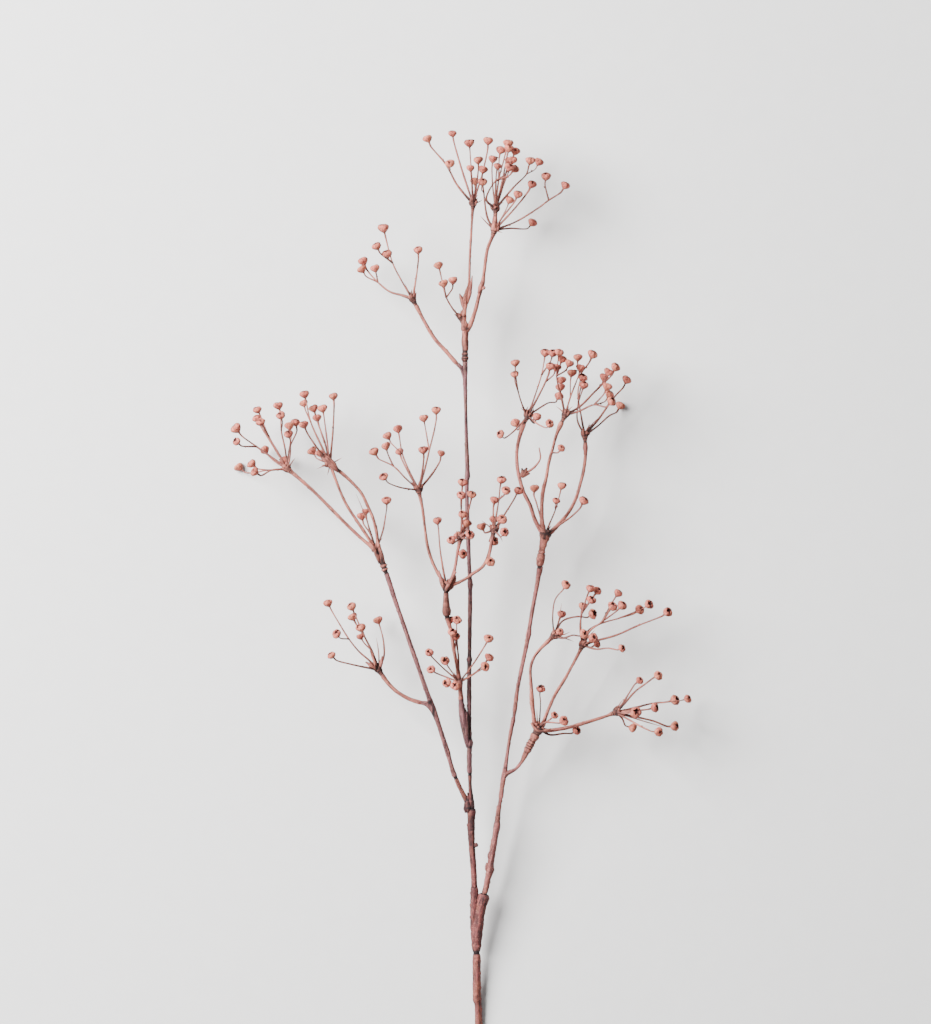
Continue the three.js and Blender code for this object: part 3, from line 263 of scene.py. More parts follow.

# Bracts and scars on the stems and at the nodes of the heads: runs that start and end in the stem there
SMALL_RUNS = {
    "branch_right": [
        [[48.2, 380.5, 43.4, 1.2], [49.8, 386, 43.7, 1.6], [51, 391, 44, 1.3]],
        [[8.2, 145.5, 20.6, 0.9], [7.4, 149, 21.4, 1.3], [8.2, 152.5, 21.6, 1]],
        [[9.6, 155.5, 22, 0.8], [9.4, 158.5, 22.8, 1.2], [10.4, 161.5, 23, 0.9]],
    ],
    "stem_middle": [
        [[-9.2, 193.5, 29, 1], [-9.4, 196.5, 30.2, 1.7], [-9.4, 200, 31, 1.4], [-9.6, 203, 31.2, 0.6]],
        [[-7, 194, 29.6, 1.6], [-7.4, 198, 30.6, 2.2], [-7.8, 201.5, 31.2, 1.7], [-8.2, 204, 31.4, 0.7]],
        [[-2.4, 166.4, 24.6, 0.9], [-1.4, 167, 25.2, 1.5], [-0.5, 167.4, 25.2, 1.6], [0.3, 167.8, 25, 0.8]],
    ],
    "branch_left": [[[-37.2, 279.5, 38.4, 1.2], [-38.6, 283.6, 39.2, 1.5], [-39.6, 286.4, 39.4, 0.5]]],
    "head_centre": [
        [[-26.4, 370, 60.2, 0.5], [-23.4, 376, 63.2, 1.4], [-19.8, 382.6, 63.8, 1.2], [-17.4, 387, 63, 0.8]],
        [[-26.6, 371.5, 59.4, 0.6], [-28.2, 377.6, 60.8, 1.6], [-29.8, 383, 61.4, 1.1], [-31, 388, 61, 0.5]],
        [[-23.6, 371, 59, 0.6], [-20.8, 375.8, 60.2, 1.8], [-18.8, 380.4, 60.6, 1.6], [-17.6, 384, 60, 0.6]],
    ],
    "head_top": [
        [[-9.8, 596, 43.6, 1], [-11.4, 601, 44.2, 1.7], [-13, 605.6, 44.2, 1.3], [-14.4, 609.4, 44, 0.3]],
        [[-9.6, 599, 44, 1.4], [-9.8, 605, 44.8, 1.8], [-8.6, 611, 45, 1.2], [-7.4, 616, 45, 0.4]],
        [[-8.6, 601, 44.2, 1], [-6.6, 608, 45.2, 1.3], [-5.4, 614.6, 45.8, 1.1], [-4.2, 623.6, 46, 0.2]],
        [[1, 609.6, 43.6, 1], [2.6, 614, 44.4, 2], [3.8, 618.6, 44.2, 1.4]],
        [[3.2, 612.6, 45, 0.6], [4.9, 613.8, 45.8, 1.3], [5.8, 615, 45.6, 0.7]],
    ],
    "head_right_top": [
        [[34, 462.4, 52, 0.9], [36, 466, 53.2, 1.4], [35.4, 469.6, 53.8, 0.4]],
        [[35, 462.6, 52.2, 0.9], [38, 466.8, 53.4, 1.4], [39.6, 470, 53.4, 0.4]],
        [[35.6, 462.4, 52, 0.8], [39.4, 464.8, 53, 1.1], [42, 465.4, 53, 0.3]],
    ],
    "head_low_left": [
        [[-80.2, 307, 41.4, 0.6], [-81.8, 313, 43.4, 1.1], [-83.8, 318.6, 44, 0.9], [-86, 324, 43.6, 0.3]],
        [[-78.4, 308, 41.4, 0.6], [-77.2, 313.6, 43.4, 1.3], [-76.2, 319.4, 43.6, 0.3]],
        [[-80.6, 308, 41, 0.7], [-85.4, 312, 42.4, 1.3], [-89.6, 314.6, 42.6, 0.4]],
    ],
    "head_right_low": [
        [
            [43.2, 265.8, 41, 0.7], [45.6, 261.6, 42.4, 1], [49.4, 258.8, 43, 1.2], [54, 259.4, 42.6, 1],
            [58.6, 260.9, 41.6, 0.5],
        ],
    ],
    "head_left": [
        [[-111, 467, 54, 1.2], [-116.4, 472.6, 55.4, 3], [-120.4, 476.8, 56, 2.6], [-124, 480.6, 56, 0.9]],
        [[-78.4, 393.4, 44.6, 0.8], [-80, 399, 45.6, 1.5], [-83.4, 406, 46.4, 1.2], [-87, 411, 46.4, 0.6]],
        [[-74.6, 394, 44.6, 0.8], [-76.6, 400, 45.8, 1.5], [-78.8, 407, 46.6, 1.3], [-80.4, 413, 46.6, 0.6]],
    ],
    "stem_centre": [
        [[-8.8, 256, 40.2, 1.6], [-9.2, 265, 41.4, 1.9], [-9.5, 272, 42.2, 1.5], [-10, 277.6, 42.6, 0.4]],
    ],
}

# Dark places on the pieces, such as painted shade in axils, rings and crevices, and darker patches: x and y
# in the plan, how far each spreads in x and in y, how dark it is, or how much painted shade it takes away
# where negative
DARK_PLACES = {
    "stem_base": [(-0.8, 80, 6, 1.2, 0.55)],
    "fork_sleeve": [
        (-0.8, 80.6, 6, 1.2, 0.55), (-4.8, 105, 0.8, 4, 0.6), (-1.6, 108, 0.7, 12, 0.35),
        (-5.5, 124, 3.4, 12, 0.25),
    ],
    "stem_middle": [
        (-7, 200, 9, 5.5, 0.28), (-8.6, 204.4, 1.2, 1.2, 0.3), (-14, 213, 3, 6, 0.3), (-5, 180, 9, 22, 0.42),
        (-5.6, 216, 4, 9, 0.35), (-3.6, 212, 0.9, 12, 0.5), (-4.8, 196.8, 6, 0.9, 0.5), (-3, 163, 4, 9, 0.12),
    ],
    "stem_centre": [
        (-6.5, 305, 5, 90, 0.4), (-4.6, 290, 0.8, 30, 0.3), (-11.4, 285.4, 1.4, 1.4, 0.6),
        (-10, 549, 4, 2.5, 0.5),
    ],
    "branch_left": [
        (-38.6, 282.2, 1.5, 1.8, 1), (-35.4, 273, 1.1, 9, 0.8), (-32, 266, 5, 14, 0.3), (-19, 226, 3, 4, 0.3),
    ],
    "branch_right": [(22.4, 229.2, 2, 0.9, 0.6), (17, 190, 3, 3, 0.3), (49.4, 386, 2, 5, 0.35)],
    "branch_centre": [(-14.5, 299, 5, 5, 0.4)],
    "head_top": [
        (-8, 581.4, 1.4, 1.6, 0.8), (-9.8, 566, 4, 12, 0.46), (-9.6, 557.4, 4, 0.7, 0.7),
        (-9.6, 560.4, 4, 0.5, 0.5), (-11, 552, 3, 3, 0.4),
    ],
    "head_top_left": [(-50, 601.8, 3, 1.2, 0.6)],
    "head_left": [
        (-80, 402.2, 1.6, 1.6, 0.7), (-76.4, 395.4, 0.8, 3, 0.6), (-75.6, 393, 4, 0.7, 0.4),
        (-74.6, 390.1, 4, 0.7, 0.35), (-73.6, 386.9, 4, 0.9, 0.25), (-110, 467.4, 2, 2.4, 0.6),
        (-150, 467, 1.6, 2, 0.3), (-76, 400, 6, 8, 0.4), (-153, 473, 10, 8, -0.25),
    ],
    "head_low_left": [(-79.6, 309.8, 3, 3, 0.35), (-79.2, 312.4, 0.8, 3, 0.35)],
    "head_centre": [(-26.8, 372.2, 1, 2, 0.5), (-24.6, 368, 4, 9, 0.34), (-24.4, 353, 5, 7, 0.5)],
    "head_right_top": [
        (51, 403, 5, 9, -0.25), (53.2, 414, 1.6, 2, 0.7), (55.6, 419.4, 3, 2.4, 0.6),
        (36.8, 467, 3.2, 3.6, 0.5),
    ],
    "head_right_low": [(50, 258.6, 5, 1.6, 0.6)],
}

STEMS = {}
HEADS = []


def stalk(pods, via=()):
    """A stalk with a pod at its end: x, y, a size and, where it is given, a height. Further pods
    fork off near its end. via holds the places in the plan that it passes on its way."""
    return dict(pods=[(*one, *(1, None)[len(one) - 2:]) for one in pods], via=via)


def pod(x, y, size=1):
    return stalk([[x, y, size]])


def collar(low, high, rings, outer, inner):
    """Rows of a collar of stacked rings: each is flat outside, with a narrow groove over it."""
    steps = rings * 2 - 1
    rows = []
    for step in range(steps + 1):
        for offset in (0,) if step % 2 else (-RING_FLAT, 0, RING_FLAT):
            share = (step + offset) / steps
            place = [a + (b - a) * share for a, b in zip(low, high)]
            ring = outer * (1 - RING_ROUND * abs(offset) + RING_VARIES * math.cos(RING_TURN * step))
            rows.append([*place, inner if step % 2 else ring])
    return rows


def run(stem, rows, **joints):
    """Adds a run to a stem: its rows of x, y, z and half width, and the joints that it starts and ends at."""
    STEMS.setdefault(stem, []).append(dict(rows=rows, **joints))


def head(name, joint, stem, ends=None):
    """Begins a head: the joint that it starts at, the rows of its stem, and the joint that this ends at."""
    HEADS.append(dict(name=name, joint=joint, stem=stem, ends=ends, umbels=[], spurs=[]))


def umbel(at, stalks=(), **traits):
    """Adds an umbel to the latest head: its middle, what stands on it, and its traits. Those are the way
    it faces, the reach of its stalks, how far they go down and up, the ray under it as rows of x, y and
    half width, the height where that starts if it isn't the head's first node, the tips of its bare
    stalks, the size of its knob, and bare, if no bracts stand round it."""
    HEADS[-1]["umbels"].append(dict(at=at, stalks=stalks, **traits))


def spur(rows):
    """Adds a bare spur to the latest head."""
    HEADS[-1]["spurs"].append(rows)


# Where one piece stands in the next: the end of the lower one, the way up there, its half width, and
# the half width of the upper one's foot where that stands in a wider cup
JOINTS = dict(
    base=dict(at=[-0.8, 79.2, 9.7], along=[0, 1, 0.16], radius=2.6),
    sleeve_left=dict(at=[-2.5, 133, 18], along=[-0.06, 1, 0.17], radius=2.8, foot=2.2),
    sleeve_right=dict(at=[5.4, 127.2, 17.6], along=[0.26, 1, 0.16], radius=3.9, foot=2.1),
    middle_centre=dict(at=[-6.1, 224, 33.2], along=[-0.03, 1, 0.14], radius=1.5),
    middle_left=dict(at=[-17.3, 221, 31.7], along=[-0.42, 1, 0.1], radius=1.5),
    centre_branch=dict(at=[-13.3, 285, 44.8], along=[-0.08, 1, 0.2], radius=1.8),
    centre_head=dict(at=[-24.3, 350.3, 56.5], along=[-0.2, 1, 0.14], radius=1.7),
    top=dict(at=[-9.9, 554.5, 43.3], along=[0, 1, -0.03], radius=1.9),
    top_left=dict(at=[-15.8, 552.7, 43.6], along=[-0.75, 0.66, 0], radius=1.35),
    left_head=dict(at=[-73, 385.6, 43], along=[-0.38, 1, 0.03], radius=1.7),
    low_left=dict(at=[-45, 281.8, 37.6], along=[-1, 0.22, 0], radius=1.4),
    right_head=dict(at=[49.7, 390, 43.9], along=[0.14, 1, 0.04], radius=2),
    right_low=dict(at=[35.3, 234, 32.8], along=[0.5, 0.85, 0.12], radius=1.25),
)

# The stems, run by run from the cut end up. Rows are x, y, z and half width.
run("stem_base", ends="base", rows=[
    [1.7, -15, 2.45, 2.7], [1.3, 0, 2.45, 2.75], [1, 14, 2.5, 2.75], [0.8, 27, 3.2, 2.75],
    [0.5, 37, 4.2, 2.8], [-0.2, 41, 4.7, 3.4], [-0.4, 45, 5.1, 3.05], [-0.5, 56, 6.4, 3], [-0.6, 68, 8, 3],
    [-0.6, 75.5, 9.1, 2.95],
])
run("fork_sleeve", starts="base", ends="sleeve_right", rows=[
    [-0.7, 86.5, 10.9, 3.8], [-0.4, 95, 12.4, 4.35], [0.6, 103, 13.8, 4.4], [1.9, 112, 15.4, 4.2],
    [3.4, 119, 16.4, 4], [4.8, 124.5, 17.2, 4.35],
])
run("fork_sleeve", ends="sleeve_left", rows=[
    [-1.6, 94, 12.6, 2], [-2.7, 100, 13.2, 2.9], [-2.6, 110, 14.6, 2.9], [-2.5, 120, 16, 2.85],
    [-2.3, 128, 17.2, 3], [-2.4, 131.5, 17.8, 2.9],
])
run("stem_middle", starts="sleeve_left", rows=[
    [-2.7, 140, 19.2, 2.2], [-3.3, 150, 20.9, 2.1], [-4.5, 166, 23.6, 2.4], [-4.8, 173, 24.8, 2.6],
    [-5.1, 182, 26.4, 2.9], [-5, 189, 27.6, 2.95], [-4.8, 194, 28.5, 3.3], [-4.7, 196.3, 28.8, 3.1],
])
run("stem_middle", ends="middle_centre", rows=[
    [-4.7, 192, 28.2, 2.2], [-4.8, 199, 29.4, 2.2], [-5.2, 206, 30.5, 1.8], [-5.8, 213, 31.6, 1.3],
    [-6, 219, 32.4, 1.25],
])
run("stem_middle", ends="middle_left",
    rows=[[-5.8, 192, 28, 2], [-8.2, 201, 29, 1.9], [-11.6, 208.5, 30, 1.7], [-15, 215.5, 31, 1.55]])
run("stem_middle", rows=[[-3.6, 165.6, 23.6, 1.3], [-2, 166.6, 23.8, 1.3], [-0.6, 167.4, 24, 1]])
run("stem_middle", rows=[[-6.3, 199, 30, 1.3], [-7.2, 205, 31, 0.9], [-7.9, 209.5, 31.8, 0.35]])
run("stem_centre", starts="middle_centre", ends="top", rows=[
    [-6.4, 227, 33.7, 1.9], [-6.5, 233, 34.6, 1.7], [-6.6, 240, 35.6, 1.7], [-6.3, 246, 36.3, 1.8],
    [-6.1, 249.5, 36.8, 2.5], [-6.4, 254, 37.3, 1.7], [-6.5, 265, 38.6, 1.5], [-6.6, 285, 40.6, 1.6],
    [-6.6, 312, 42.6, 1.45], [-6.5, 316.5, 42.9, 2], [-6.5, 321, 43.2, 1.45], [-6, 370, 45, 1.5],
    [-6, 377, 45.1, 2], [-6.3, 383, 45.2, 1.45], [-7, 400, 45.4, 1.45], [-8.5, 459, 45.2, 1.5],
    [-8, 463.5, 45.2, 2], [-8.1, 469, 45.1, 1.5], [-8.8, 490, 44.8, 1.25], [-9.4, 512, 44.4, 1.1],
    [-9.8, 530, 44, 1.25], [-10, 541, 43.7, 1.55], [-9.9, 548, 43.5, 1.85],
])
run("stem_centre", ends="centre_branch", rows=[
    [-7.5, 246, 36.8, 1.3], [-8.8, 254, 38.6, 2.3], [-10.3, 263, 40.4, 3], [-11.6, 271, 42, 2.9],
    [-12.7, 278, 43.3, 2.2],
])
run("stem_centre", ends="top_left",
    rows=[[-10, 539, 43.7, 1.2], [-11.2, 545.5, 43.6, 1.45], [-13, 549.8, 43.6, 1.4]])
run("branch_left", starts="middle_left", ends="left_head", rows=[
    [-18.6, 223.8, 32, 1.95], [-20.1, 228, 32.5, 1.55], [-22.4, 236, 33.3, 1.6], [-23.9, 241.5, 33.9, 2.1],
    [-25.6, 247, 34.5, 1.8], [-28.5, 256, 35.4, 1.6], [-31.4, 265, 36.2, 1.6], [-34.1, 272.5, 36.9, 1.9],
    [-36.6, 279, 37.5, 2.3], [-38.6, 285, 38, 1.8], [-42.5, 296, 38.8, 1.6], [-48, 312, 39.8, 1.5],
    [-60.3, 348, 41.6, 1.5], [-66.2, 365, 42.3, 1.6], [-70.2, 377.5, 42.7, 1.7],
])
run("branch_left", ends="low_left",
    rows=[[-34.5, 272, 36.9, 1.4], [-37.6, 278, 37.4, 2], [-40.8, 280.8, 37.5, 1.9]])
run("branch_right", starts="sleeve_right", ends="right_head", rows=[
    [6.8, 132, 18.4, 2.3], [8.3, 140, 19.6, 2.15], [9.9, 146, 20.5, 2.9], [10.5, 152, 21.3, 2.5],
    [11.7, 160, 22.4, 2.3], [14.5, 176, 24.6, 2.3], [15.6, 182.5, 25.5, 2.7], [16, 186.5, 26, 1.9],
    [16.8, 194, 27, 1.75], [18.2, 202, 28, 1.25], [19, 207, 28.5, 1.6], [19.8, 214, 29.3, 1.5],
    [21, 222, 30.2, 1.9], [22.2, 228.5, 30.9, 1.7], [23.4, 237, 31.8, 1.25], [25, 248, 33, 1.2],
    [27, 260, 34.2, 1.3], [28.6, 267.5, 35, 1.45], [29.2, 271, 35.3, 1.1], [30, 277, 35.9, 1.5],
    [32, 292, 37.3, 1.4], [39.6, 330, 40.4, 1.4], [41, 337.5, 40.9, 1.85], [41.8, 343, 41.3, 1.4],
    [44.6, 360, 42.4, 1.45], [47.9, 378, 43.3, 1.5],
])
run("branch_right", ends="right_low", rows=[
    [20.5, 219.5, 29.8, 1.4], [22.8, 224.2, 30.7, 2.1], [26.2, 226, 31.3, 1.6], [30.6, 228.4, 32, 1],
])

# The heads and the side branch, each with its umbels and spurs
head("head_top", "top", stem=[
    [-9.9, 556, 43.3, 2.3], *collar([-10, 557.5, 43.3], [-9.9, 562.5, 43.2], 2, 2.55, 1.95),
    [-9.7, 566.5, 43.1, 2.35], [-10.1, 571, 43, 2.5], [-9.8, 577, 42.8, 2.5], [-9.6, 583, 42.7, 2.8],
])
umbel([-13, 590, 43], facing=[-0.2, 1, 0], reach=36, depth=[-10, 16], start_height=42.8,
    ray=[[-10.5, 580, 1.4], [-11.5, 586, 1.4]],
    stalks=[stalk([[-27, 616.5], [-19.5, 619], [-31, 632]], [[-19, 596], [-25, 606]])])
umbel([-3.5, 681, 50], facing=[-0.1, 1, 0], reach=52, depth=[-30, 30], start_height=42.8,
    spikes=[[4, 684], [-9, 686]], ray=[
    [-10, 580, 2], [-11, 590, 1.9], [-9.3, 603, 1.6], [-7, 615, 0.95], [-6, 640, 0.85], [-4.6, 665, 0.85],
    [-4.1, 674, 1.1],
], stalks=[
    stalk([[-39.5, 732.5], [-22, 711]], [[-10, 688], [-17, 697], [-25, 712]]), pod(-20, 736.5, 0.9),
    pod(-6.5, 728.5, 1.05), pod(8.5, 731), pod(-5.5, 707.5, 0.9), pod(-2, 699), pod(0.5, 713.5),
])
umbel([13.5, 660, 44], facing=[0.3, 1, 0], reach=50, depth=[-28, 28], start_height=42.7,
    spikes=[[20, 658], [2, 672]], ray=[
    [-9, 580, 1.8], [-6, 584, 1.6], [-2, 595, 1.5], [1, 607, 1.3], [4, 618, 1.75], [5.2, 626, 1.2],
    [8, 645, 1.3], [11.5, 654, 1.2],
], stalks=[
    stalk([[4.5, 707.5], [4, 697]], [[8, 670], [5, 690]]), stalk([[44, 667]], [[26, 662]]),
    stalk([[32, 687.5], [25.5, 683.5]], [[19, 669]]),
    stalk([[70, 695.5], [54.5, 702]], [[31, 667], [49, 678], [57, 684]]), pod(43, 695.5),
])
umbel([14.5, 677, 46], facing=[0.3, 1, 0], reach=50, depth=[-30, 30], start_height=44,
    spikes=[[21, 682]], ray=[[13.5, 660, 2], [14, 669, 1.6]], stalks=[
    stalk([[25, 708], [29, 707.5]], [[7, 684], [14, 698]]), pod(12.5, 717.5), pod(16, 710, 0.85),
    stalk([[24.5, 729, 1.1], [18.5, 724]], [[17, 700]]), stalk([[25, 724.5], [30, 722.5]], [[20, 700]]),
    stalk([[25, 715], [28, 715.5]], [[20, 694]]),
    stalk([[42, 714], [49, 714.5]], [[22, 686], [30, 695], [39, 704]]),
])
spur([[-9.6, 602, 43.6, 1.4], [-7, 611, 44.4, 0.95], [-4.4, 621, 45.2, 0.35]])
spur([[-9.9, 599, 43.6, 1.3], [-12, 604.5, 43.9, 1.1], [-14.2, 608.5, 44.2, 0.5]])

head("head_top_left", "top_left", stem=[
    [-17.4, 554.2, 43.6, 1.6], [-25, 563, 43.9, 1.3], [-34, 573, 44.4, 1.3], [-43, 588, 45, 1.2],
    [-48.4, 598.5, 45.5, 1.6],
])
umbel([-52, 605, 46], facing=[-0.2, 1, 0.2], reach=58, depth=[-26, 26],
    spikes=[[-58, 617], [-50, 613]], stalks=[
    stalk([[-75, 661, 1.2], [-80, 646], [-72, 640, 1.05]], [[-61, 620], [-68, 634]]),
    stalk([[-91.5, 635.5, 1.1], [-92.5, 629], [-82, 629.5]], [[-60, 608], [-70, 611], [-80, 619]]),
    pod(-47.5, 643),
])

head("head_left", "left_head", stem=[
    [-73.75, 387.4, 43.1, 1.9], [-74.1, 388.5, 43.1, 2.75], [-74.7, 390.2, 43.2, 1.9],
    [-75.2, 391.7, 43.2, 2.75], [-75.6, 393.2, 43.3, 2.2], [-77.2, 397, 43.5, 2.75],
    [-78.6, 400.5, 43.7, 2.6],
])
umbel([-81, 404, 44], facing=[-0.1, 1, 0.3], reach=42, depth=[-22, 24],
    spikes=[[-97, 449], [-76, 414]], stalks=[
    stalk([[-72.5, 443]], [[-75.5, 420], [-73.5, 431]]),
    stalk([[-93, 430.5], [-89.5, 434.5, 0.8]], [[-86, 417]]),
])
umbel([-152, 469, 38], facing=[-0.5, 1, 0.25], reach=52, depth=[-27, 30],
    spikes=[[-158, 481], [-146, 478]], ray=[
    [-81, 404, 1.5], [-90, 411, 1.3], [-100, 420, 1.2], [-115, 435, 1.2], [-130, 450, 1.2],
    [-140, 459, 1.3], [-147, 465, 1.5],
], stalks=[
    stalk([[-193, 501, 1.2], [-192, 490.5, 0.9]], [[-163, 477], [-177, 487]]),
    stalk([[-192, 470.5, 1, LOW_POD]], [[-170, 468]]), stalk([[-177.5, 466.5], [-180, 473]], [[-165, 468]]),
    pod(-171, 484, 1.05), stalk([[-176, 516, 0.95], [-173, 506]], [[-160, 483], [-167, 495]]),
    pod(-177, 509, 0.9), stalk([[-159, 519], [-157, 511]], [[-154, 485], [-157, 500]]),
    stalk([[-146, 506], [-151, 503]], [[-151, 485]]), pod(-150.5, 496), pod(-155, 476, 1.05),
])
umbel([-118, 473, 54], facing=[-0.2, 1, 0.25], reach=50, depth=[-26, 28],
    spikes=[[-128, 469], [-120, 464], [-108, 478]], ray=[
    [-81, 404, 1.5], [-80, 412, 1.2], [-83, 428, 1.1], [-88, 440, 1.1], [-93, 450, 1.1], [-102, 460, 1.2],
    [-110, 467, 1.4],
], stalks=[
    stalk([[-138, 528], [-139, 521, 0.9]], [[-125, 488], [-133, 506]]),
    stalk([[-131, 517], [-128.5, 509.5]], [[-122, 490]]), pod(-123.5, 516.5), pod(-115, 526.5, 0.95),
    pod(-138, 503.5), stalk([[-132, 483], [-126, 481, 0.9]]),
])
spur([
    [-81, 404, 44, 1.2], [-90, 418, 46, 1.05], [-98, 430, 48, 1], [-106, 443, 50, 0.95],
    [-118, 473, 54, 0.9],
])

head("head_low_left", "low_left", stem=[
    [-47.4, 282.4, 37.7, 1.45], [-55, 285, 38, 1.25], [-65, 291, 38.6, 1.2], [-72, 298, 39.2, 1.3],
    [-76, 303.5, 39.6, 1.7],
])
umbel([-79, 308, 40], facing=[-0.4, 1, 0.4], reach=52, depth=[-24, 26],
    spikes=[[-81, 334], [-92, 320]], stalks=[
    stalk([[-119.5, 361], [-112, 337]], [[-87, 316], [-95, 323], [-103, 333]]),
    stalk([[-100.5, 358], [-100, 350]], [[-84, 322], [-91, 336]]),
    stalk([[-93, 341.5, 1.1], [-93.5, 334.5, 0.8]], [[-85, 324]]),
    stalk([[-80, 347]], [[-75, 319], [-75.5, 331]]), stalk([[-116, 320, 0.9]], [[-88, 310], [-101, 313]]),
])

head("head_centre", "centre_head", stem=[
    [-24.6, 352.4, 56.8, 2.7], [-24.8, 355.5, 57.2, 3.1], [-25.1, 360, 57.8, 2.7], [-25.2, 365, 58.5, 2.2],
    [-25.2, 369.5, 59.2, 2],
])
umbel([-25, 376, 60], facing=[-0.2, 1, 0.6], reach=52, depth=[0, 12],
    spikes=[[-20, 384], [-31, 385]], stalks=[stalk([[-32, 427, 0.95]], [[-28, 392], [-30, 406]])])
umbel([-47, 452, 62], facing=[-0.2, 1, 0.35], reach=56, depth=[-28, 26],
    spikes=[[-54, 460], [-45, 464]], ray=[
    [-25, 376, 1.3], [-30, 383, 1.2], [-36, 395, 1.15], [-40, 408, 1.1], [-42, 422, 1], [-44, 438, 1.1],
    [-45.7, 446, 1.4],
], stalks=[
    stalk([[-33, 515], [-43, 509]], [[-43, 465], [-38.5, 484]]),
    stalk([[-63.5, 500.5], [-71.5, 495]], [[-53, 464], [-60, 481]]),
    stalk([[-82, 482], [-73, 486.5]], [[-57, 461], [-67, 471]]), pod(-62.5, 482.5, 0.9), pod(-43, 483),
    pod(-29, 481, 0.85), pod(-74, 462, 0.95),
])
umbel([-13.5, 414, 66], facing=[0.1, 0.9, 0.6], reach=44, depth=[-3, 24],
    ray=[[-25, 376, 1.3], [-21, 381, 1.2], [-18, 390, 1.1], [-16, 402, 1.1]], stalks=[
    stalk([[-12, 457.5], [-13, 447]], [[-13, 425], [-13, 437]]), pod(-4.5, 448), pod(-12, 432),
    pod(-9, 425, 1.1), pod(-6, 416), pod(-15.5, 415), pod(-21, 412, 0.9), pod(-12.5, 401),
])
umbel([13, 420, 64], facing=[0.3, 0.95, 0.5], reach=44, depth=[-3, 24], spikes=[[3, 428], [20, 411]], ray=[
    [-25, 376, 1.3], [-19, 377, 1.2], [-10, 381, 1.15], [-3, 386, 1.15], [4, 391, 1.15], [9, 401, 1.15],
], stalks=[
    stalk([[19, 459.5], [22.5, 451]], [[15, 432], [17, 445]]), pod(13.5, 443.5), pod(32, 451),
    pod(3.5, 422.5), pod(19, 428, 1.1), pod(13, 428), pod(21, 418), pod(12.5, 411.5), pod(10, 395),
])

head("head_right_top", "right_head", stem=[
    [50, 392.8, 44, 2.7], [50.4, 396, 44.2, 3.1], [50.8, 398.6, 44.4, 2.95],
    *collar([51, 400.2, 44.5], [51.5, 404.2, 44.9], 2, 2.95, 2.3), [52.3, 408.5, 45.3, 2.6],
])
umbel([54, 416, 46], knob=1.35, facing=[0.2, 1, 0.3], reach=46, depth=[-16, 24],
    spikes=[[57, 426], [49, 425]], stalks=[
    stalk([[67, 455], [62.5, 443, 0.8]], [[57.5, 425], [62, 436]]),
    stalk([[45.5, 453]], [[50, 432], [47, 443]]), stalk([[84.5, 443, 1.05]], [[65, 424], [75, 431]]),
])
umbel([33.7, 463.5, 51.5], bare=True, spikes=[[38.5, 470]])
umbel([59.6, 482, 50.3], bare=True, facing=[0.3, 1, 0.2], reach=14, depth=[-4, 8],
    stalks=[pod(66.5, 485, 0.85)])
umbel([40, 511, 56], facing=[0.1, 1, 0.25], reach=52, depth=[-24, 28], spikes=[[50, 530], [34, 518]], ray=[
    [54, 416, 1.6], [50.5, 420, 1.5], [46, 428, 1.45], [42, 440, 1.4], [37, 450, 1.35], [34, 460, 1.4],
    [32, 470, 1.25], [31.5, 482, 1.2], [33, 492, 1.35], [36, 502, 1.9],
], stalks=[
    stalk([[30, 552.5, 0.95], [29.5, 543.5, 0.9]], [[36, 519], [32.5, 530]]), pod(30.5, 505.5),
    pod(18.5, 496, 0.9), pod(47.5, 510.5), pod(57, 504.5, 0.95),
    stalk([[54, 561], [60, 560.5]], [[45, 525], [51, 544]]),
    stalk([[57.5, 549.5], [62.5, 549]], [[48, 526], [54, 538]]), stalk([[65, 527]], [[47, 516], [57, 522]]),
])
umbel([70, 512, 52], facing=[0.2, 1, 0.3], reach=52, depth=[-28, 28], spikes=[[76, 519], [63, 519]], ray=[
    [54, 416, 1.8], [52, 424, 1.65], [51.5, 440, 1.5], [52.6, 452, 1.5], [55, 462, 1.2], [57, 474, 1.1],
    [60, 485, 1.1], [63, 496, 1.2], [66.5, 504.5, 1.9],
], stalks=[
    stalk([[65, 561], [67, 556], [73, 552.5]], [[67, 525], [63, 543]]),
    stalk([[67, 540], [66.5, 534]], [[68, 523]]), stalk([[82, 549], [75, 545]], [[74, 526]]),
    stalk([[110, 549.5, 1.05], [101.5, 542], [104.5, 546]], [[82, 519], [93, 530]]),
    stalk([[106, 522], [103, 534], [105, 528]], [[81, 515], [93, 520]]),
])
umbel([86, 496, 36], facing=[0.3, 1, 0.1], reach=52, depth=[-24, 30],
    spikes=[[91, 505], [98, 511], [83, 503]], ray=[
    [54, 416, 1.6], [59, 419, 1.5], [67, 427, 1.35], [74, 436, 1.3], [79, 446, 1.25], [82, 456, 1.2],
    [85, 468, 1.2], [86.5, 480, 1.3], [86.4, 486.5, 2], [86.3, 489.5, 1.6],
], stalks=[
    stalk([[84, 541], [84.5, 535]], [[80, 508], [80.5, 522]]),
    stalk([[80.5, 558], [92, 560, 1.05]], [[83, 512], [80.5, 530], [83, 546]]),
    stalk([[115, 520, 1, LOW_POD]], [[97, 504], [106, 512]]),
    stalk([[119.5, 540, 1.05]], [[97, 509], [109, 526]]),
])
spur([
    [33.5, 463, 51.4, 1], [39, 466, 52.4, 0.75], [45.5, 470.5, 53.4, 0.6], [50, 477, 54.4, 0.5],
    [49.2, 486, 55.4, 0.3],
])

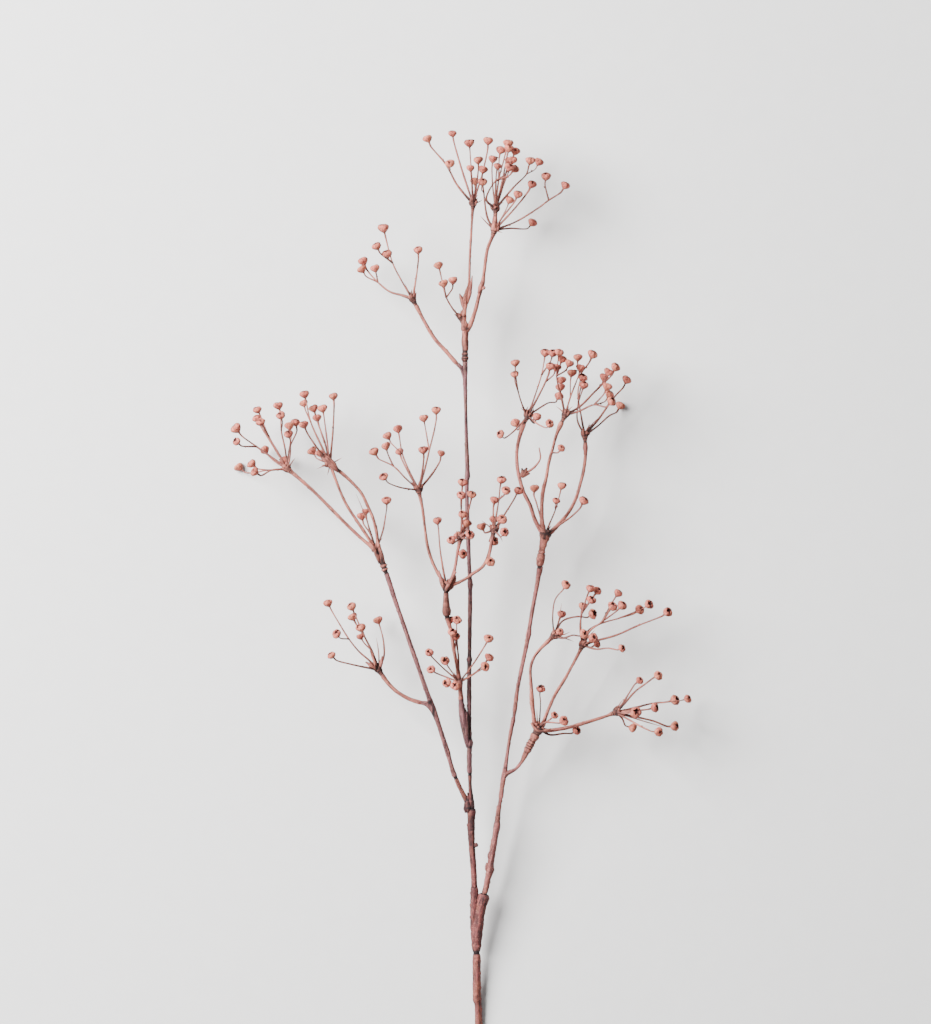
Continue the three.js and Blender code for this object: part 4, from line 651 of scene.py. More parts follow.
head("head_right_low", "right_low", stem=[
    [36.7, 236.6, 33.1, 1.6], [39.1, 241.6, 33.9, 2.3],
    *collar([40.5, 244.4, 34.4], [43.8, 251.1, 35.7], 4, 3.1, 2.5), [46.2, 255.4, 36.8, 3.2],
])
umbel([49, 261, 38], knob=1.25, facing=[0.3, 0.6, 1], reach=34, depth=[-6, 22],
    spikes=[[47.5, 277], [44, 268], [55, 270]], stalks=[
    stalk([[68.5, 268, 1.05], [61, 272, 0.8]], [[54, 266]]), stalk([[79, 259]], [[58, 256], [69, 257]]),
    stalk([[50.5, 292.5, 0.95]], [[50, 272], [50.4, 283]]),
])
umbel([61, 336, 56], facing=[0.2, 0.6, 1], reach=42, depth=[-8, 24],
    spikes=[[74, 339], [77, 331], [67, 362]], ray=[
    [49, 261, 1.5], [46, 265, 1.4], [44.6, 274, 1.35], [43.6, 283, 1.75], [43, 295, 1.25], [42.5, 310, 1.1],
    [45, 318, 1], [50, 325, 1.1], [56.5, 331.5, 1.5],
], stalks=[
    stalk([[70, 376]], [[60, 352], [62, 365]]), pod(67, 352.5), pod(65.5, 339, 0.8),
    stalk([[91.5, 352.5, 1.1]], [[68, 347.5], [80, 351]]), stalk([[84, 337.5]], [[68, 334], [76, 336.5]]),
])
umbel([84, 328, 44], facing=[0.4, 0.6, 1], reach=48, depth=[-10, 26], spikes=[[94, 340]], ray=[
    [49, 261, 1.5], [52.5, 266, 1.35], [57, 277, 1.2], [62, 288, 1.15], [70, 301, 1.1], [76, 312, 1.05],
    [81.5, 322.5, 1.3],
], stalks=[
    stalk([[90, 373], [95.5, 371, 0.95], [90.5, 364]], [[82, 342], [83.5, 354]]), pod(84.5, 358.5),
    pod(92, 333.5, 1.05), pod(95.5, 328.5, 0.9), stalk([[114.5, 326, 0.85]], [[95, 325], [104, 326]]),
    stalk([[129, 356, 1.05], [136.5, 360.5]], [[88, 339], [98, 345], [113, 349.5]]),
    stalk([[107, 359, 1.1], [115, 359.5, 1.1], [112.5, 369]], [[90, 340], [99, 347]]),
    stalk([[151.5, 354, 1.05]], [[93, 331], [111, 336], [128, 343.5]]),
])
umbel([111, 274, 36], facing=[0.6, 0.3, 1], reach=52, depth=[-8, 28], spikes=[[117, 285], [150, 262]], ray=[
    [49, 261, 1.4], [55, 259.5, 1.35], [65, 260.5, 1.3], [75, 262.5, 1.25], [82, 264.5, 1.5],
    [92, 267.5, 1.3], [103, 271, 1.2],
], stalks=[
    stalk([[143.5, 304]], [[117, 280.5], [126, 291], [135, 298]]),
    stalk([[129.5, 299, 0.85]], [[117, 282]]), pod(141, 278),
    stalk([[157.5, 283.5, 1.1], [167.5, 285, 0.9]], [[124, 277], [140, 281]]), pod(125.5, 275, 1.2),
    stalk([[124, 261.5]], [[116, 269]]), stalk([[143.5, 259.5]], [[122, 268]]),
    stalk([[157.5, 262.5, 1.05]], [[124, 271], [141, 267]]),
])

head("branch_centre", "centre_branch", ends="centre_head", stem=[
    [-13.5, 288, 45.4, 1.65], [-14, 293, 46.4, 1.6], [-14.5, 298, 47.4, 2.4], [-15, 302, 48.2, 1.7],
    [-16.3, 311, 49.8, 1.35], [-19, 325, 52.2, 1.3], [-21, 339, 54.6, 1.3], [-23.2, 346.5, 55.9, 1.45],
])
umbel([-14.5, 298.5, 48], bare=True, facing=[0.1, 0.3, 1], reach=46, depth=[4, 26],
    spikes=[[-10, 306], [-19, 307]], stalks=[
    pod(-38, 322.5, 0.9), pod(-36.5, 308.5, 0.9), pod(-25.5, 315.5), stalk([[-24, 298], [-18, 296]]),
    stalk([[-20, 338], [-17, 334.5, 0.9]], [[-18, 318]]),
    stalk([[-22, 347.5, 0.9], [-16.5, 348]], [[-16, 325]]), stalk([[8.5, 333]], [[-3, 314]]),
    stalk([[9, 318], [5.5, 311]], [[-2, 306]]),
])


def unit(values):
    values = np.array(values, float)
    return values / np.linalg.norm(values)


def side_of(way):
    """A direction across a way, level unless the way is steep"""
    return np.cross(way, RIGHT if abs(way[2]) > STEEP else UP)


def length_along(places):
    """How far along a path each of its places is"""
    return np.append(0, np.cumsum(np.linalg.norm(np.diff(places, axis=0), axis=1)))


def height_between(start, end, x, y):
    """The height at a place in the plan that a shoot passes on its way from one place to another"""
    share = min(math.dist((x, y), start[:2]) / math.dist(end[:2], start[:2]), 1)
    return start[2] + (end[2] - start[2]) * share


def fading(distance, amount, reach):
    """What is full at no distance and fades over its reach"""
    return amount * np.exp(-(distance / reach) ** 2)


def path_through(rows, step):
    """Places and half widths, a step apart, on the smooth curve through rows of x, y, z and half width"""
    rows = np.array(rows, float)
    knots = np.vstack([2 * rows[0] - rows[1], rows, 2 * rows[-1] - rows[-2]])[:, :3]
    spans = np.sqrt(np.linalg.norm(np.diff(knots, axis=0), axis=1))
    places = []
    widths = []
    for index in range(len(rows) - 1):
        p0, p1, p2, p3 = knots[index:index + 4]
        before, span, after = spans[index:index + 3]
        leave = span * ((p1 - p0) / before - (p2 - p0) / (before + span) + (p2 - p1) / span)
        reach = span * ((p2 - p1) / span - (p3 - p1) / (span + after) + (p3 - p2) / after)
        count = max(1, round(np.linalg.norm(p2 - p1) / step))
        share = (np.arange(count) / count)[:, None]
        ease = share ** 2 * (3 - 2 * share)
        bend = (share ** 3 - 2 * share ** 2 + share) * leave + (share ** 3 - share ** 2) * reach
        places.append(p1 + (p2 - p1) * ease + bend)
        widths.append(rows[index, 3] + (rows[index + 1, 3] - rows[index, 3]) * ease[:, 0])
    return np.vstack([*places, rows[-1:, :3]]), np.append(np.concatenate(widths), rows[-1, 3])


def sides_along(places):
    """Two directions square to a path at each place, that never twist. Where the path goes back into
    itself, as at the bottom of a bowl, its way stays as it was."""
    steps = np.gradient(places, axis=0)
    way = unit(steps[0])
    side = side_of(way)
    along = []
    sides = []
    for step in steps:
        if step.dot(way) > TURNED_BACK * np.linalg.norm(step):
            way = unit(step)
        side = unit(side - way * side.dot(way))
        along.append(way)
        sides.append(side)
    return np.array(sides), np.cross(sides, along)


def put_in_scene(name, data):
    made = bpy.data.objects.new(name, data)
    scene.collection.objects.link(made)
    return made


class Growth:
    """Closed surfaces, each a stack of rings, that become one piece"""

    def __init__(self, seed, dark_places=()):
        self.rng = np.random.default_rng(seed)
        self.dark_places = dark_places
        self.points = []
        self.faces = []
        self.grain = []
        self.painted_shade = []
        self.tint = []
        self.count = 0

    def add(self, rings, grain, painted_shade):
        """rings and grain are rings x sides x 3, and the shade painted at each point is rings x sides. Both
        ends are closed.
        """
        layers, sides = rings.shape[:2]
        # Shade painted on the sides and the underside, more where a point faces less upward
        facing = np.cross(np.roll(rings, -1, axis=1) - np.roll(rings, 1, axis=1), np.gradient(rings, axis=0))
        upward = facing[..., 2] / (np.linalg.norm(facing, axis=2) + 1e-9)
        turned = np.clip((FLANK_START - upward) / FLANK_START, 0, 1)
        painted_shade = painted_shade + FLANK_SHADE * turned * turned * (3 - 2 * turned)
        # Shade painted into axils and crevices, and darker patches, at the dark places; where negative,
        # painted shade is taken away
        for x, y, half_x, half_y, amount in self.dark_places:
            apart = ((rings[..., 0] - x) / half_x) ** 2 + ((rings[..., 1] - y) / half_y) ** 2
            painted_shade = painted_shade + amount * np.exp(-apart)
        painted_shade = np.clip(painted_shade, 0, 1)
        corner = np.arange(sides)
        following = np.roll(corner, -1)
        low = self.count + sides * np.arange(layers - 1)[:, None]
        walls = [low + corner, low + following, low + sides + following, low + sides + corner]
        foot = self.count + layers * sides
        top = foot - sides
        self.faces += np.stack(walls, -1).reshape(-1, 4).tolist()
        self.faces += [[foot, self.count + b, self.count + a] for a, b in zip(corner, following)]
        self.faces += [[foot + 1, top + a, top + b] for a, b in zip(corner, following)]
        for kept, values in ((self.points, rings), (self.grain, grain), (self.painted_shade, painted_shade[..., None])):
            kept.append(values.reshape(layers * sides, -1))
            kept.append(values[[0, -1]].mean(axis=1))
        self.tint.append(np.full(layers * sides + 2, self.rng.uniform(-1, 1)))
        self.count = foot + 2

    def finish(self, name, skin, slot, node):
        """Makes the mesh, moves it into the frame and flattens what would reach under the surface."""
        points = (np.vstack(self.points) + PLAN_PLACE) * MM
        points[:, 2] = np.maximum(points[:, 2], 0)
        mesh = bpy.data.meshes.new(name)
        mesh.from_pydata(points, [], self.faces)
        mesh.shade_smooth()
        grain = mesh.attributes.new("grain", "FLOAT_VECTOR", "POINT")
        grain.data.foreach_set("vector", np.vstack(self.grain).ravel())
        # The painted shade and the tint of each shoot are carried at each point
        for label, values in (("painted_shade", np.vstack(self.painted_shade)), ("tint", np.concatenate(self.tint))):
            kept = mesh.attributes.new(label, "FLOAT", "POINT")
            kept.data.foreach_set("value", values.ravel())
        mesh.materials.append(skin)
        piece = put_in_scene(name, mesh)
        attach(piece, "root")
        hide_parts(node)


def ribbed(length, turn, rng, depth):
    """How far a surface stands out of its round: wandering ribs, and shallow swellings along it"""
    relief = 0
    for ribs, share in RIBS:
        start, drift = rng.uniform(0, 2 * np.pi, 2)
        sway = RIB_SWAY * np.sin(length / rng.uniform(*SWAY_PITCH) + drift)
        relief = relief + depth * share * np.cos(ribs * turn + start + sway)
    for pitch, share in SWELLINGS:
        relief = relief + depth * share * np.sin(length / pitch + rng.uniform(0, 2 * np.pi))
    return relief


def scarred(length, turn, rng):
    """The scars of small buds up a stem: a lump with a nick over it, each at its own side"""
    relief = np.zeros((len(length), len(turn)))
    place = rng.uniform(SCAR_MARGIN, SCAR_SPACING)
    while place < length[-1, 0] - SCAR_MARGIN:
        apart = (turn - rng.uniform(0, 2 * np.pi) + np.pi) % (2 * np.pi) - np.pi
        for height, along, half_length, half_width in SCAR_PARTS:
            relief += fading(length - place - along, height, half_length) * fading(apart, 1, half_width)
        place += SCAR_SPACING * rng.uniform(*SCAR_VARIES)
    return relief


def tube(growth, places, widths, sides, depth, flat=1, dark=0, scars=False):
    """A closed round shoot along a path. dark is the shade painted at each place; more is painted into the
    valleys between its ribs.
    """
    rng = growth.rng
    side, above = sides_along(places)
    turn = np.arange(sides) * 2 * np.pi / sides
    length = length_along(places)[:, None]
    relief = ribbed(length, turn, rng, depth)
    if scars:
        relief = relief + scarred(length, turn, rng)
    reach = widths[:, None] * (1 + relief)
    across = reach * np.sin(turn)
    over = reach * np.cos(turn) * flat
    rings = places[:, None] + side[:, None] * across[..., None] + above[:, None] * over[..., None]
    grain = np.stack([across, over, np.broadcast_to(length, across.shape)], -1)
    grain = grain + rng.uniform(0, GRAIN_RANGE, 3)
    for_each, darkest = RELIEF_SHADE
    painted_shade = np.reshape(dark, (-1, 1)) + np.clip(-relief * for_each, 0, darkest)
    growth.add(rings, grain, np.clip(painted_shade, 0, 1))


def groove_darkness(widths):
    """How dark a stem is at each place: shade is painted into its narrow places between rings."""
    padded = np.pad(widths, GROOVE_WINDOW // 2, mode="edge")
    mean = np.convolve(padded, np.ones(GROOVE_WINDOW) / GROOVE_WINDOW, mode="valid")
    full_depth, darkest = GROOVE_SHADE
    return np.clip((mean - widths) / full_depth, 0, darkest)


def knob_rows(centre, last_stretch, size):
    """The swollen end of a ray, where the stalks of an umbel meet, as far down as its last stretch is long"""
    room = np.linalg.norm(last_stretch)
    along = last_stretch / room
    outline = KNOB_BOWL if size > 1 else KNOB_ROUND
    rows = [(rise * size, KNOB_RADIUS * share * size) for rise, share in outline]
    return [[*(centre + along * rise), width] for rise, width in rows if rise > -KNOB_ROOM * room]


def is_plain(joint):
    """Whether a run meets its joint with no ring or gap"""
    return not joint or joint in GROWN_JOINTS or "foot" in JOINTS[joint]


def grow_run(growth, rows, starts=None, ends=None, knob=None, flared=False, sides=STEM_SIDES, step=STEM_STEP):
    """A run of stem, with a round lip at the joints that it starts and ends at, or a knob at its end"""
    rows = list(rows)
    if starts:
        joint = JOINTS[starts]
        way = unit(joint["along"])
        foot = np.array(joint["at"]) + way * JOINT_GAP
        neck = PLAIN_NECK if is_plain(starts) else JOINT_NECK
        radius = joint.get("foot", joint["radius"])
        rows[:0] = [[*(foot + way * rise), radius * share] for rise, share in neck]
    if ends:
        joint = JOINTS[ends]
        way = unit(joint["along"])
        lip = [[*(np.array(joint["at"]) - way * down), joint["radius"] * share] for down, share in JOINT_LIP]
        rows += [[*joint["at"], joint["radius"]]] if ends in GROWN_JOINTS else lip[::-1]
    if knob:
        centre = np.array(knob["at"], float)
        rows += knob_rows(centre, centre - rows[-1][:3], knob.get("knob", 1))
    places, widths = path_through(rows, step)
    widths = widths + (RAY_EDGE if flared else STEM_EDGE)
    # Shade painted into its grooves, over ringed joints, in wider cups, under joints and at a knob
    dark = groove_darkness(widths)
    from_start = length_along(places)
    to_end = from_start[-1] - from_start
    if not is_plain(starts):
        dark = dark + fading(from_start, *JOINT_SHADE)
    elif starts and starts not in GROWN_JOINTS:
        dark = dark + fading(from_start, *CUP_SHADE)
    if not is_plain(ends):
        dark = dark + fading(to_end, *LIP_SHADE)
    if flared:
        widths = widths * (1 + fading(from_start, *RAY_FLARE))
    if knob:
        dark = dark + fading(to_end, *KNOB_SHADE)
    tube(growth, places, widths, sides, STEM_RELIEF, dark=dark, scars=True)


def grow_tapered(growth, start, end, taper, bow=0, flat=0.5, thick=1, fade=2.4):
    """A bract, bare stalk or stub from one place to another, bowed a little, with shade painted at its root
    """
    share = np.linspace(0, 1, TAPER_PLACES)
    way = end - start
    aside = unit(np.cross(way, UP) + growth.rng.normal(0, BOW_VARIES, 3))
    places = start + way * share[:, None] + aside * (bow * np.sin(np.pi * share))[:, None]
    widths = np.interp(share, *zip(*taper)) * thick
    dark = ROOT_SHADE * np.exp(-share * fade)
    tube(growth, places, widths, STALK_SIDES, TAPER_RELIEF, flat=flat, dark=dark)


def waves(wave, table, starts, turn, height):
    """The waves round a pod that a table tells of"""
    parts = zip(table, starts)
    return sum(high * wave(count * turn + start + slant * height) for (count, high, slant), start in parts)


def grow_pod(growth, neck, axis, size):
    """A pod: a pointed foot, round shoulders, and a lobed rim that curls into a star-shaped dimple darkened
    by painted shade
    """
    rng = growth.rng
    height, width, lobe, inside, painted_shade = (column[:, None] for column in np.array(POD_PROFILE).T)
    turn = np.arange(POD_SIDES) * 2 * np.pi / POD_SIDES
    lobes = rng.choice(POD_LOBES)
    uneven = np.arange(lobes) + rng.uniform(-LOBE_SHIFT, LOBE_SHIFT, lobes)
    clefts = rng.uniform(0, 2 * np.pi) + 2 * np.pi * uneven / lobes
    apart = (turn[:, None] - clefts + np.pi) % (2 * np.pi) - np.pi
    sharp = fading(apart, 1, rng.uniform(*CLEFT_WIDTH, lobes))
    cleft = (rng.uniform(*CLEFT_DEPTH, lobes) * sharp).max(axis=1)
    # Five random angles: the third also turns the tilt of the rim, and the fourth the shift of the dimple
    start = rng.uniform(0, 2 * np.pi, 5)
    rough = 1 + waves(np.cos, POD_WAVES, start[[0, 1, 4]], turn, height)
    rough = rough + waves(np.sin, POD_CREASES, start[2:4], turn, height)
    opening = rng.uniform(*POD_OPENING)
    outer = 1 - CLEFT_CUT * lobe * cleft
    inner = opening * (OPENING_ROUND + OPENING_STAR * cleft * lobe)
    radius = POD_RADIUS * size * width * rough * (outer * (1 - inside) + inner * inside)
    sink = CLEFT_SINK * cleft - RIM_TILT * np.cos(turn + start[2]) + rng.uniform(-RIM_UNEVEN, RIM_UNEVEN)
    rise = POD_HEIGHT * size * (height - lobe * sink)
    side = unit(side_of(axis))
    above = np.cross(side, axis)
    off_middle = DIMPLE_SHIFT * POD_RADIUS * size * inside
    across = radius * np.sin(turn) + off_middle * math.sin(start[3])
    over = radius * np.cos(turn) + off_middle * math.cos(start[3])
    rings = neck + axis * rise[..., None] + side * across[..., None] + above * over[..., None]
    grain = np.stack([across, over, rise], -1) + rng.uniform(0, GRAIN_RANGE, 3)
    # Shade painted at its foot and in its dimple, and more in deep clefts
    dark = painted_shade + lobe * cleft * (CLEFT_SHADE + INNER_SHADE * inside)
    growth.add(rings, grain, np.clip(dark, 0, 1))


def pod_height(umbel, x, y, turn):
    """How high a pod stands: its stalk is as long as its neighbours', so what the plan shortens goes into
    depth, up and down by turns."""
    x0, y0, z0 = umbel["at"]
    spare = math.sqrt(max(0, umbel["reach"] ** 2 - (x - x0) ** 2 - (y - y0) ** 2))
    low, high = umbel["depth"]
    return z0 + min(max(spare * turn, low), high)


def clear_place(place, others):
    """Pods never grow through each other: one that would stands higher or lower until it is clear."""
    for step in range(CLEAR_TRIES):
        moved = place + UP * (-1 if step % 2 else 1) * math.ceil(step / 2) * CLEAR_STEP
        if all(np.linalg.norm(other - moved) > POD_CLEARANCE for other in others):
            return moved
    return place


def grow_stalk(shoots, pods, root, out, via, centre, facing, size):
    """A stalk on a curve to the neck of its pod, and the pod. out is how far from its root it starts,
    which is 0 where it forks off another stalk."""
    last_stop = via[-1] if via else root
    lift = UP * pods.rng.uniform(*POD_LIFT)
    axis = unit(unit(centre - last_stop) * POD_OUTWARD + facing * POD_FACING + lift)
    neck = centre - axis * POD_HEIGHT * size / 2
    length = np.linalg.norm(neck - last_stop)
    foot = root + unit((via[0] if via else neck) - root) * out
    places = [foot, *via]
    if length > BENT_STALK:
        places.append(neck + (last_stop - neck) * BEND_PLACE - axis * length * STALK_BEND)
    places += [neck - axis * min(STALK_NECK, length * NECK_SHARE), neck + axis * POD_SEAT]
    places, _ = path_through([[*place, 0] for place in places], STALK_STEP)
    share = np.linspace(0, 1, len(places))
    widths = np.interp(share, *zip(*(STALK_TAPER if out else FORK_TAPER))) * shoots.rng.uniform(*STALK_WIDTH)
    # Shade painted at its foot, or where it forks off, and under its pod
    dark = 0
    for distance, (amount, reach) in ((share, STALK_SHADE if out else FORK_SHADE), (1 - share, NECK_SHADE)):
        dark = dark + amount * np.exp(-distance * length / reach)
    flat = shoots.rng.uniform(*STALK_FLAT)
    tube(shoots, places, widths, STALK_SIDES, STALK_RELIEF, flat=flat, dark=dark)
    if shoots.rng.random() < BUDDED_STALKS:
        index = int(len(places) * shoots.rng.uniform(*SIDE_BUD_PLACE))
        grow_bud(shoots, places[index], unit(places[index + 1] - places[index]), SIDE_BUD)
    grow_pod(pods, neck, axis, size)


def grow_stalk_with_pods(shoots, pods, umbel, stalk, index, placed):
    """A forked stalk: the first pod ends it, and the others leave it at its last stop."""
    root = np.array(umbel["at"], float)
    turn = TURNS[index % len(TURNS)]
    places = []
    for fork, (x, y, size, by_hand) in enumerate(stalk["pods"]):
        height = by_hand or pod_height(umbel, x, y, turn)
        place = np.array([x, y, height - math.copysign(fork * FORK_STEP, turn)])
        if not by_hand:
            place = clear_place(place, placed)
        placed.append(place)
        places.append(place)
    stops = [np.array([x, y, height_between(root, places[0], x, y)]) for x, y in stalk["via"]]
    for fork, place in enumerate(places):
        forked = fork and stops
        out = 0 if forked or "bare" in umbel else STALK_FOOT
        start = stops[-1] if forked else root
        size = stalk["pods"][fork][2]
        grow_stalk(shoots, pods, start, out, [] if fork else stops, place, unit(umbel["facing"]), size)


def grow_bud(shoots, place, along, length):
    """A small round bud that leans out from the way that its stalk grows"""
    out = unit(np.cross(along, shoots.rng.normal(0, 1, 3)))
    tip = place + unit(along + out * shoots.rng.uniform(*BUD_LEAN)) * length
    grow_tapered(shoots, place, tip, BUD_TAPER, flat=BUD_FLAT, thick=BUD_WIDTH * length)


def grow_bracts(shoots, umbel, along):
    """Bracts, buds and the stubs of lost stalks round the foot of an umbel"""
    rng = shoots.rng
    centre = np.array(umbel["at"], float)
    across = unit(np.cross(along, UP))
    above = np.cross(across, along)

    def outward(angle):
        return across * math.cos(angle) + above * math.sin(angle)

    def from_centre(rise, spread, out):
        return along * rise + out * spread

    for index in range(BRACTS):
        out = outward(2 * np.pi * (index / BRACTS + umbel["at"][0] * BRACT_TURN))
        full = rng.uniform(*BROKEN_BRACT) if index % FULL_BRACT else 1
        foot = centre + from_centre(*BRACT_FOOT, out)
        tip = centre + from_centre(*BRACT_TIP, out) * full
        bow = rng.uniform(-BRACT_BOW, BRACT_BOW)
        grow_tapered(shoots, foot, tip, BRACT_TAPER, bow=bow, thick=rng.uniform(*BRACT_WIDTH))
    for index in range(LONG_BRACTS):
        out = across * rng.uniform(-LONG_LEAN, LONG_LEAN) + above * rng.uniform(-LONG_LEAN, LONG_LEAN)
        foot = centre + from_centre(*LONG_FOOT, out)
        tip = centre + unit(along + out) * rng.uniform(*LONG_BRACT)
        bow = rng.uniform(-LONG_BOW, LONG_BOW)
        grow_tapered(shoots, foot, tip, LONG_TAPER, bow=bow, flat=LONG_FLAT, fade=LONG_FADE)
    for index in range(STUBS):
        out = outward(rng.uniform(0, 2 * np.pi)) * rng.uniform(*STUB_LEAN)
        tip = centre + (along + out) * rng.uniform(*STUB_LENGTH)
        grow_tapered(shoots, centre, tip, STUB_TAPER, flat=STUB_FLAT)
    for index in range(BUDS):
        out = outward(rng.uniform(0, 2 * np.pi))
        foot = centre + out * rng.uniform(*BUD_OUT) + along * rng.uniform(*BUD_ALONG)
        grow_bud(shoots, foot, along, rng.uniform(*BUD_LENGTH))


def grow_umbel(shoots, pods, umbel, node_height, placed):
    """The ray under an umbel, its swollen knob, and all that stands on it"""
    centre = np.array(umbel["at"], float)
    for index, one in enumerate(umbel["stalks"]):
        grow_stalk_with_pods(shoots, pods, umbel, one, index, placed)
    if "ray" in umbel:
        start = (*umbel["ray"][0][:2], umbel.get("start_height", node_height))
        rows = [[x, y, height_between(start, centre, x, y), radius] for x, y, radius in umbel["ray"]]
        grow_run(shoots, rows, knob=umbel, flared=True, sides=RAY_SIDES, step=RAY_STEP)
    if "bare" not in umbel:
        grow_bracts(shoots, umbel, unit(centre - rows[-1][:3] if "ray" in umbel else umbel["facing"]))
    for index, (x, y) in enumerate(umbel.get("spikes", ())):
        tip = np.array([x, y, centre[2] + SPIKE_RISE[index % 2]])
        grow_tapered(shoots, centre, tip, SPIKE_TAPER, bow=shoots.rng.uniform(-SPIKE_BOW, SPIKE_BOW))


def grow_head(head, seed):
    """A head: its stem, umbels and spurs in one piece, and its pods in another"""
    name = head["name"]
    shoots = Growth(seed, DARK_PLACES.get(name, ()))
    pods = Growth(seed + 1)
    first = head["umbels"][0]
    knob = None if head["ends"] or "ray" in first else first
    grow_run(shoots, head["stem"], starts=head["joint"], ends=head["ends"], knob=knob, sides=HEAD_STEM_SIDES)
    for rows in SMALL_RUNS.get(name, ()):
        grow_run(shoots, rows, sides=RAY_SIDES)
    placed = []
    for umbel in head["umbels"]:
        grow_umbel(shoots, pods, umbel, first["at"][2], placed)
    for rows in head["spurs"]:
        grow_run(shoots, rows, sides=RAY_SIDES, step=RAY_STEP)
    shoots.finish(name + "_stalks", skins["stalk_skin"], "head", name)
    pods.finish(name + "_pods", skins["pod_husk"], "head", name)


class Wire:
    """An output in a finish's node tree, which sums and products can be written with"""

    def __init__(self, finish, socket):
        self.finish = finish
        self.socket = socket

    def worked(self, operation, first, second):
        return self.finish.node("ShaderNodeMath", {"operation": operation}, {0: first, 1: second})

    def __add__(self, other):
        return self.worked("ADD", self, other)

    def __sub__(self, other):
        return self.worked("SUBTRACT", self, other)

    def __rsub__(self, other):
        return self.worked("SUBTRACT", other, self)

    def __mul__(self, other):
        return self.worked("MULTIPLY", self, other)


class Finish:
    """A material whose nodes are added one by one"""

    def __init__(self, name):
        self.material = bpy.data.materials.new(name)
        self.material.use_nodes = True
        self.tree = self.material.node_tree
        self.tree.nodes.clear()

    def node(self, kind, settings, values, output=0):
        """Adds a node, with its settings first, then the values or links of its sockets."""
        made = self.tree.nodes.new(kind)
        for name, value in settings.items():
            setattr(made, name, value)
        for name, value in values.items():
            if isinstance(value, Wire):
                self.tree.links.new(value.socket, made.inputs[name])
            else:
                made.inputs[name].default_value = value
        return Wire(self, made.outputs[output]) if made.outputs else None

    def carried(self, name, output):
        """A value that the mesh carries at each of its points"""
        return self.node("ShaderNodeAttribute", {"attribute_name": name}, {}, output)

    def noise(self, place, along, scale, detail):
        """Cloudy noise from 0 to 1, drawn out along the growth where along is small"""
        drawn = self.node("ShaderNodeVectorMath", {"operation": "MULTIPLY"}, {0: place, 1: (1, 1, along)})
        return self.node("ShaderNodeTexNoise", {}, {"Vector": drawn, "Scale": scale, "Detail": detail})

    def band(self, value, low, high):
        """0 up to low and 1 from high, with a smooth step between"""
        settings = {"interpolation_type": "SMOOTHSTEP"}
        return self.node("ShaderNodeMapRange", settings, {"Value": value, "From Min": low, "From Max": high})

    def blend(self, share, first, second):
        """One colour at 0 and the other at 1"""
        return self.node("ShaderNodeMix", {"data_type": "RGBA"}, {"Factor": share, 6: first, 7: second}, 2)

    def layer(self, under, over, value, low, high, strength):
        """A colour laid over another where a value passes from low to high"""
        return self.blend(self.band(value, low, high) * strength, under, over)

    def surface(self, values):
        shader = self.node("ShaderNodeBsdfPrincipled", {}, values)
        self.node("ShaderNodeOutputMaterial", {}, {"Surface": shader})
        return self.material


def shade(colour):
    """A colour as it looks on a screen, from 0 to 255, as the light that a shader takes"""
    return (*(((c / 255 + 0.055) / 1.055) ** 2.4 for c in colour), 1)


def mixed(wires, shares):
    """The sum of some outputs, each by its share"""
    total, *others = (wire * share for wire, share in zip(wires, shares))
    for other in others:
        total = total + other
    return total


def dried_skin(name):
    """Dyed, dried plant skin: fibres along the growth, cloudy dye, patches, pale flecks, dark cracks, and
    painted shade in a dusky colour
    """
    along, relief, *colours = SKINS[name]
    pale, deep, dusk, fleck, patch = (shade(colour) for colour in colours)
    finish = Finish(name)
    grain = finish.carried("grain", "Vector")
    painted_shade = finish.carried("painted_shade", "Fac")
    tint = finish.carried("tint", "Fac")
    fibres = finish.noise(grain, along, *FIBRES)
    streaks = finish.noise(grain, along, *STREAKS)
    specks = finish.noise(grain, *SPECKS)
    dye = mixed((fibres, streaks, finish.noise(grain, *CLOUDS), tint), DYE_SHARES)
    colour = finish.blend(finish.band(dye, *DYED), deep, pale)
    colour = finish.layer(colour, patch, finish.noise(grain, *PATCHES) + tint * PATCH_TINT, *PATCHED)
    colour = finish.layer(colour, deep, finish.noise(grain, *MOTTLES), *MOTTLED)
    colour = finish.layer(colour, fleck, specks, *FLECKED)
    cracks = finish.band(mixed((streaks, fibres), CRACK_SHARES), *CRACKED)
    colour = finish.blend((1 - cracks) * CRACK_DUSK, colour, dusk)
    # The painted shade: the dusky colour where the mesh carries shade
    colour = finish.layer(colour, dusk, painted_shade + fibres * DUSK_FIBRES - DUSK_LEVEL, *DUSKY)
    height = mixed((fibres, streaks, specks, cracks), RELIEF_SHARES)
    bump = {"Height": height, "Strength": relief, "Distance": RELIEF_DEPTH}
    normal = finish.node("ShaderNodeBump", {}, bump)
    roughness = mixed((fibres, painted_shade), ROUGHNESS) + ROUGHNESS[2]
    return finish.surface({"Base Color": colour, "Roughness": roughness, "Normal": normal})


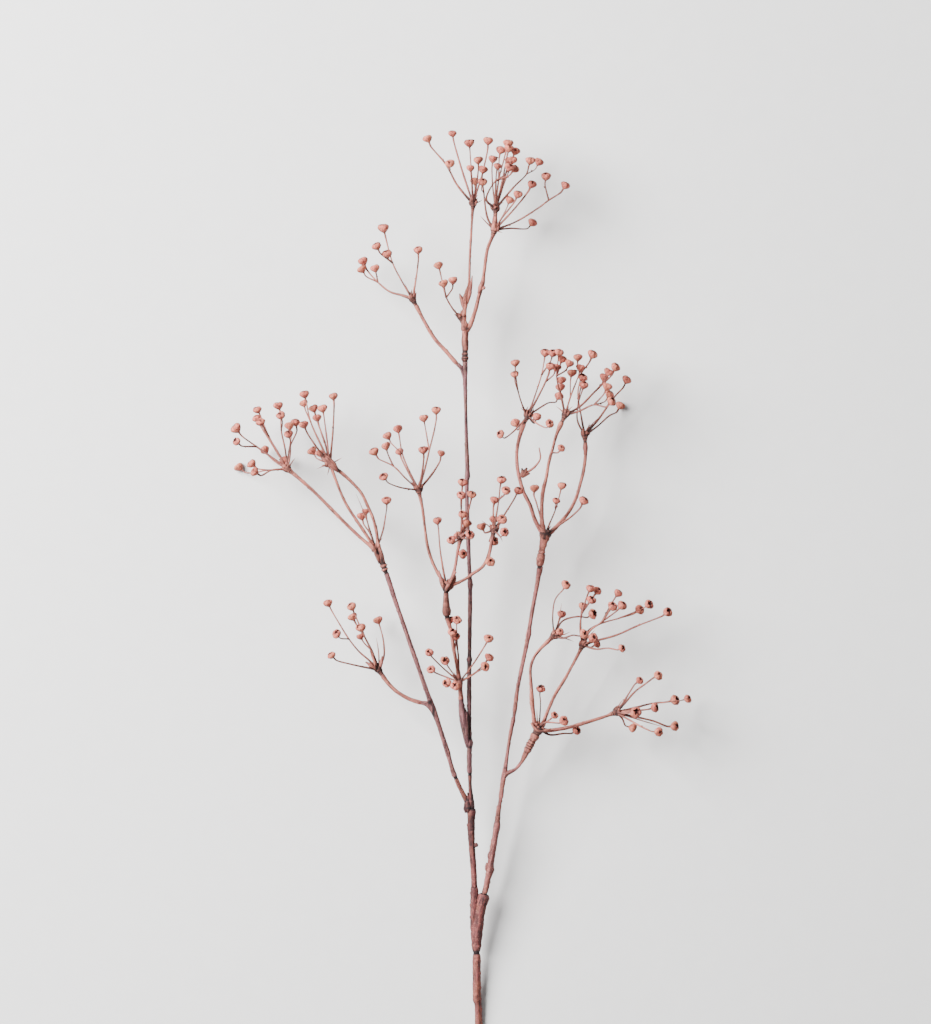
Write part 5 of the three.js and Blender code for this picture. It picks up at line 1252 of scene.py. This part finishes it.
def pale_floor():
    """A plain pale surface under the stem"""
    finish = Finish("pale_surface")
    place = finish.node("ShaderNodeNewGeometry", {}, {}, "Position")
    colour = finish.blend(finish.noise(place, *FLOOR_GRAIN), shade(FLOOR_LOW), shade(FLOOR_HIGH))
    half = FLOOR_SIZE / 2
    corners = [(x, y, FLOOR_DROP) for x, y in ((-half, -half), (half, -half), (half, half), (-half, half))]
    mesh = bpy.data.meshes.new("floor")
    mesh.from_pydata(corners, [], [(0, 1, 2, 3)])
    mesh.materials.append(finish.surface({"Base Color": colour, "Roughness": FLOOR_ROUGHNESS}))
    put_in_scene("floor", mesh)


def soft_light(name, place, size, power):
    """A broad lamp that shines on the middle of the stem and doesn't show itself"""
    light = bpy.data.lights.new(name, "AREA")
    light.size = size
    light.energy = power
    lamp = put_in_scene(name, light)
    lamp.location = place
    lamp.rotation_euler = (-Vector(place)).to_track_quat("-Z", "Y").to_euler()
    lamp.visible_camera = False


def overhead_camera():
    """The camera looks straight down on the lying stem, from far off, with the tips at the top."""
    view = bpy.data.cameras.new("overhead")
    view.sensor_fit = "VERTICAL"
    view.sensor_height = SENSOR
    view.lens = SENSOR * CAMERA_DISTANCE / VIEW_HEIGHT
    view.clip_end = 4 * CAMERA_DISTANCE
    camera = put_in_scene("overhead", view)
    camera.location = (*VIEW_MIDDLE, VIEW_DEPTH + CAMERA_DISTANCE)
    scene.camera = camera


def plain_sky():
    """Even white light from all round"""
    scene.world = bpy.data.worlds.new("studio")
    scene.world.use_nodes = True
    sky = scene.world.node_tree.nodes["Background"].inputs
    sky["Color"].default_value = (1, 1, 1, 1)
    sky["Strength"].default_value = SKY_STRENGTH


overhead_camera()
pale_floor()
for lamp in LIGHTS:
    soft_light(**lamp)
plain_sky()

skins = {name: dried_skin(name) for name in SKINS}
for index, (name, runs) in enumerate(STEMS.items()):
    bark = Growth(SEED + index, DARK_PLACES.get(name, ()))
    for one in runs:
        grow_run(bark, **one)
    for rows in SMALL_RUNS.get(name, ()):
        grow_run(bark, rows)
    bark.finish(name + "_bark", skins[SKIN_OF_STEM.get(name, "stem_bark")], "stem", name)
for index, one in enumerate(HEADS):
    grow_head(one, HEAD_SEED + 2 * index)
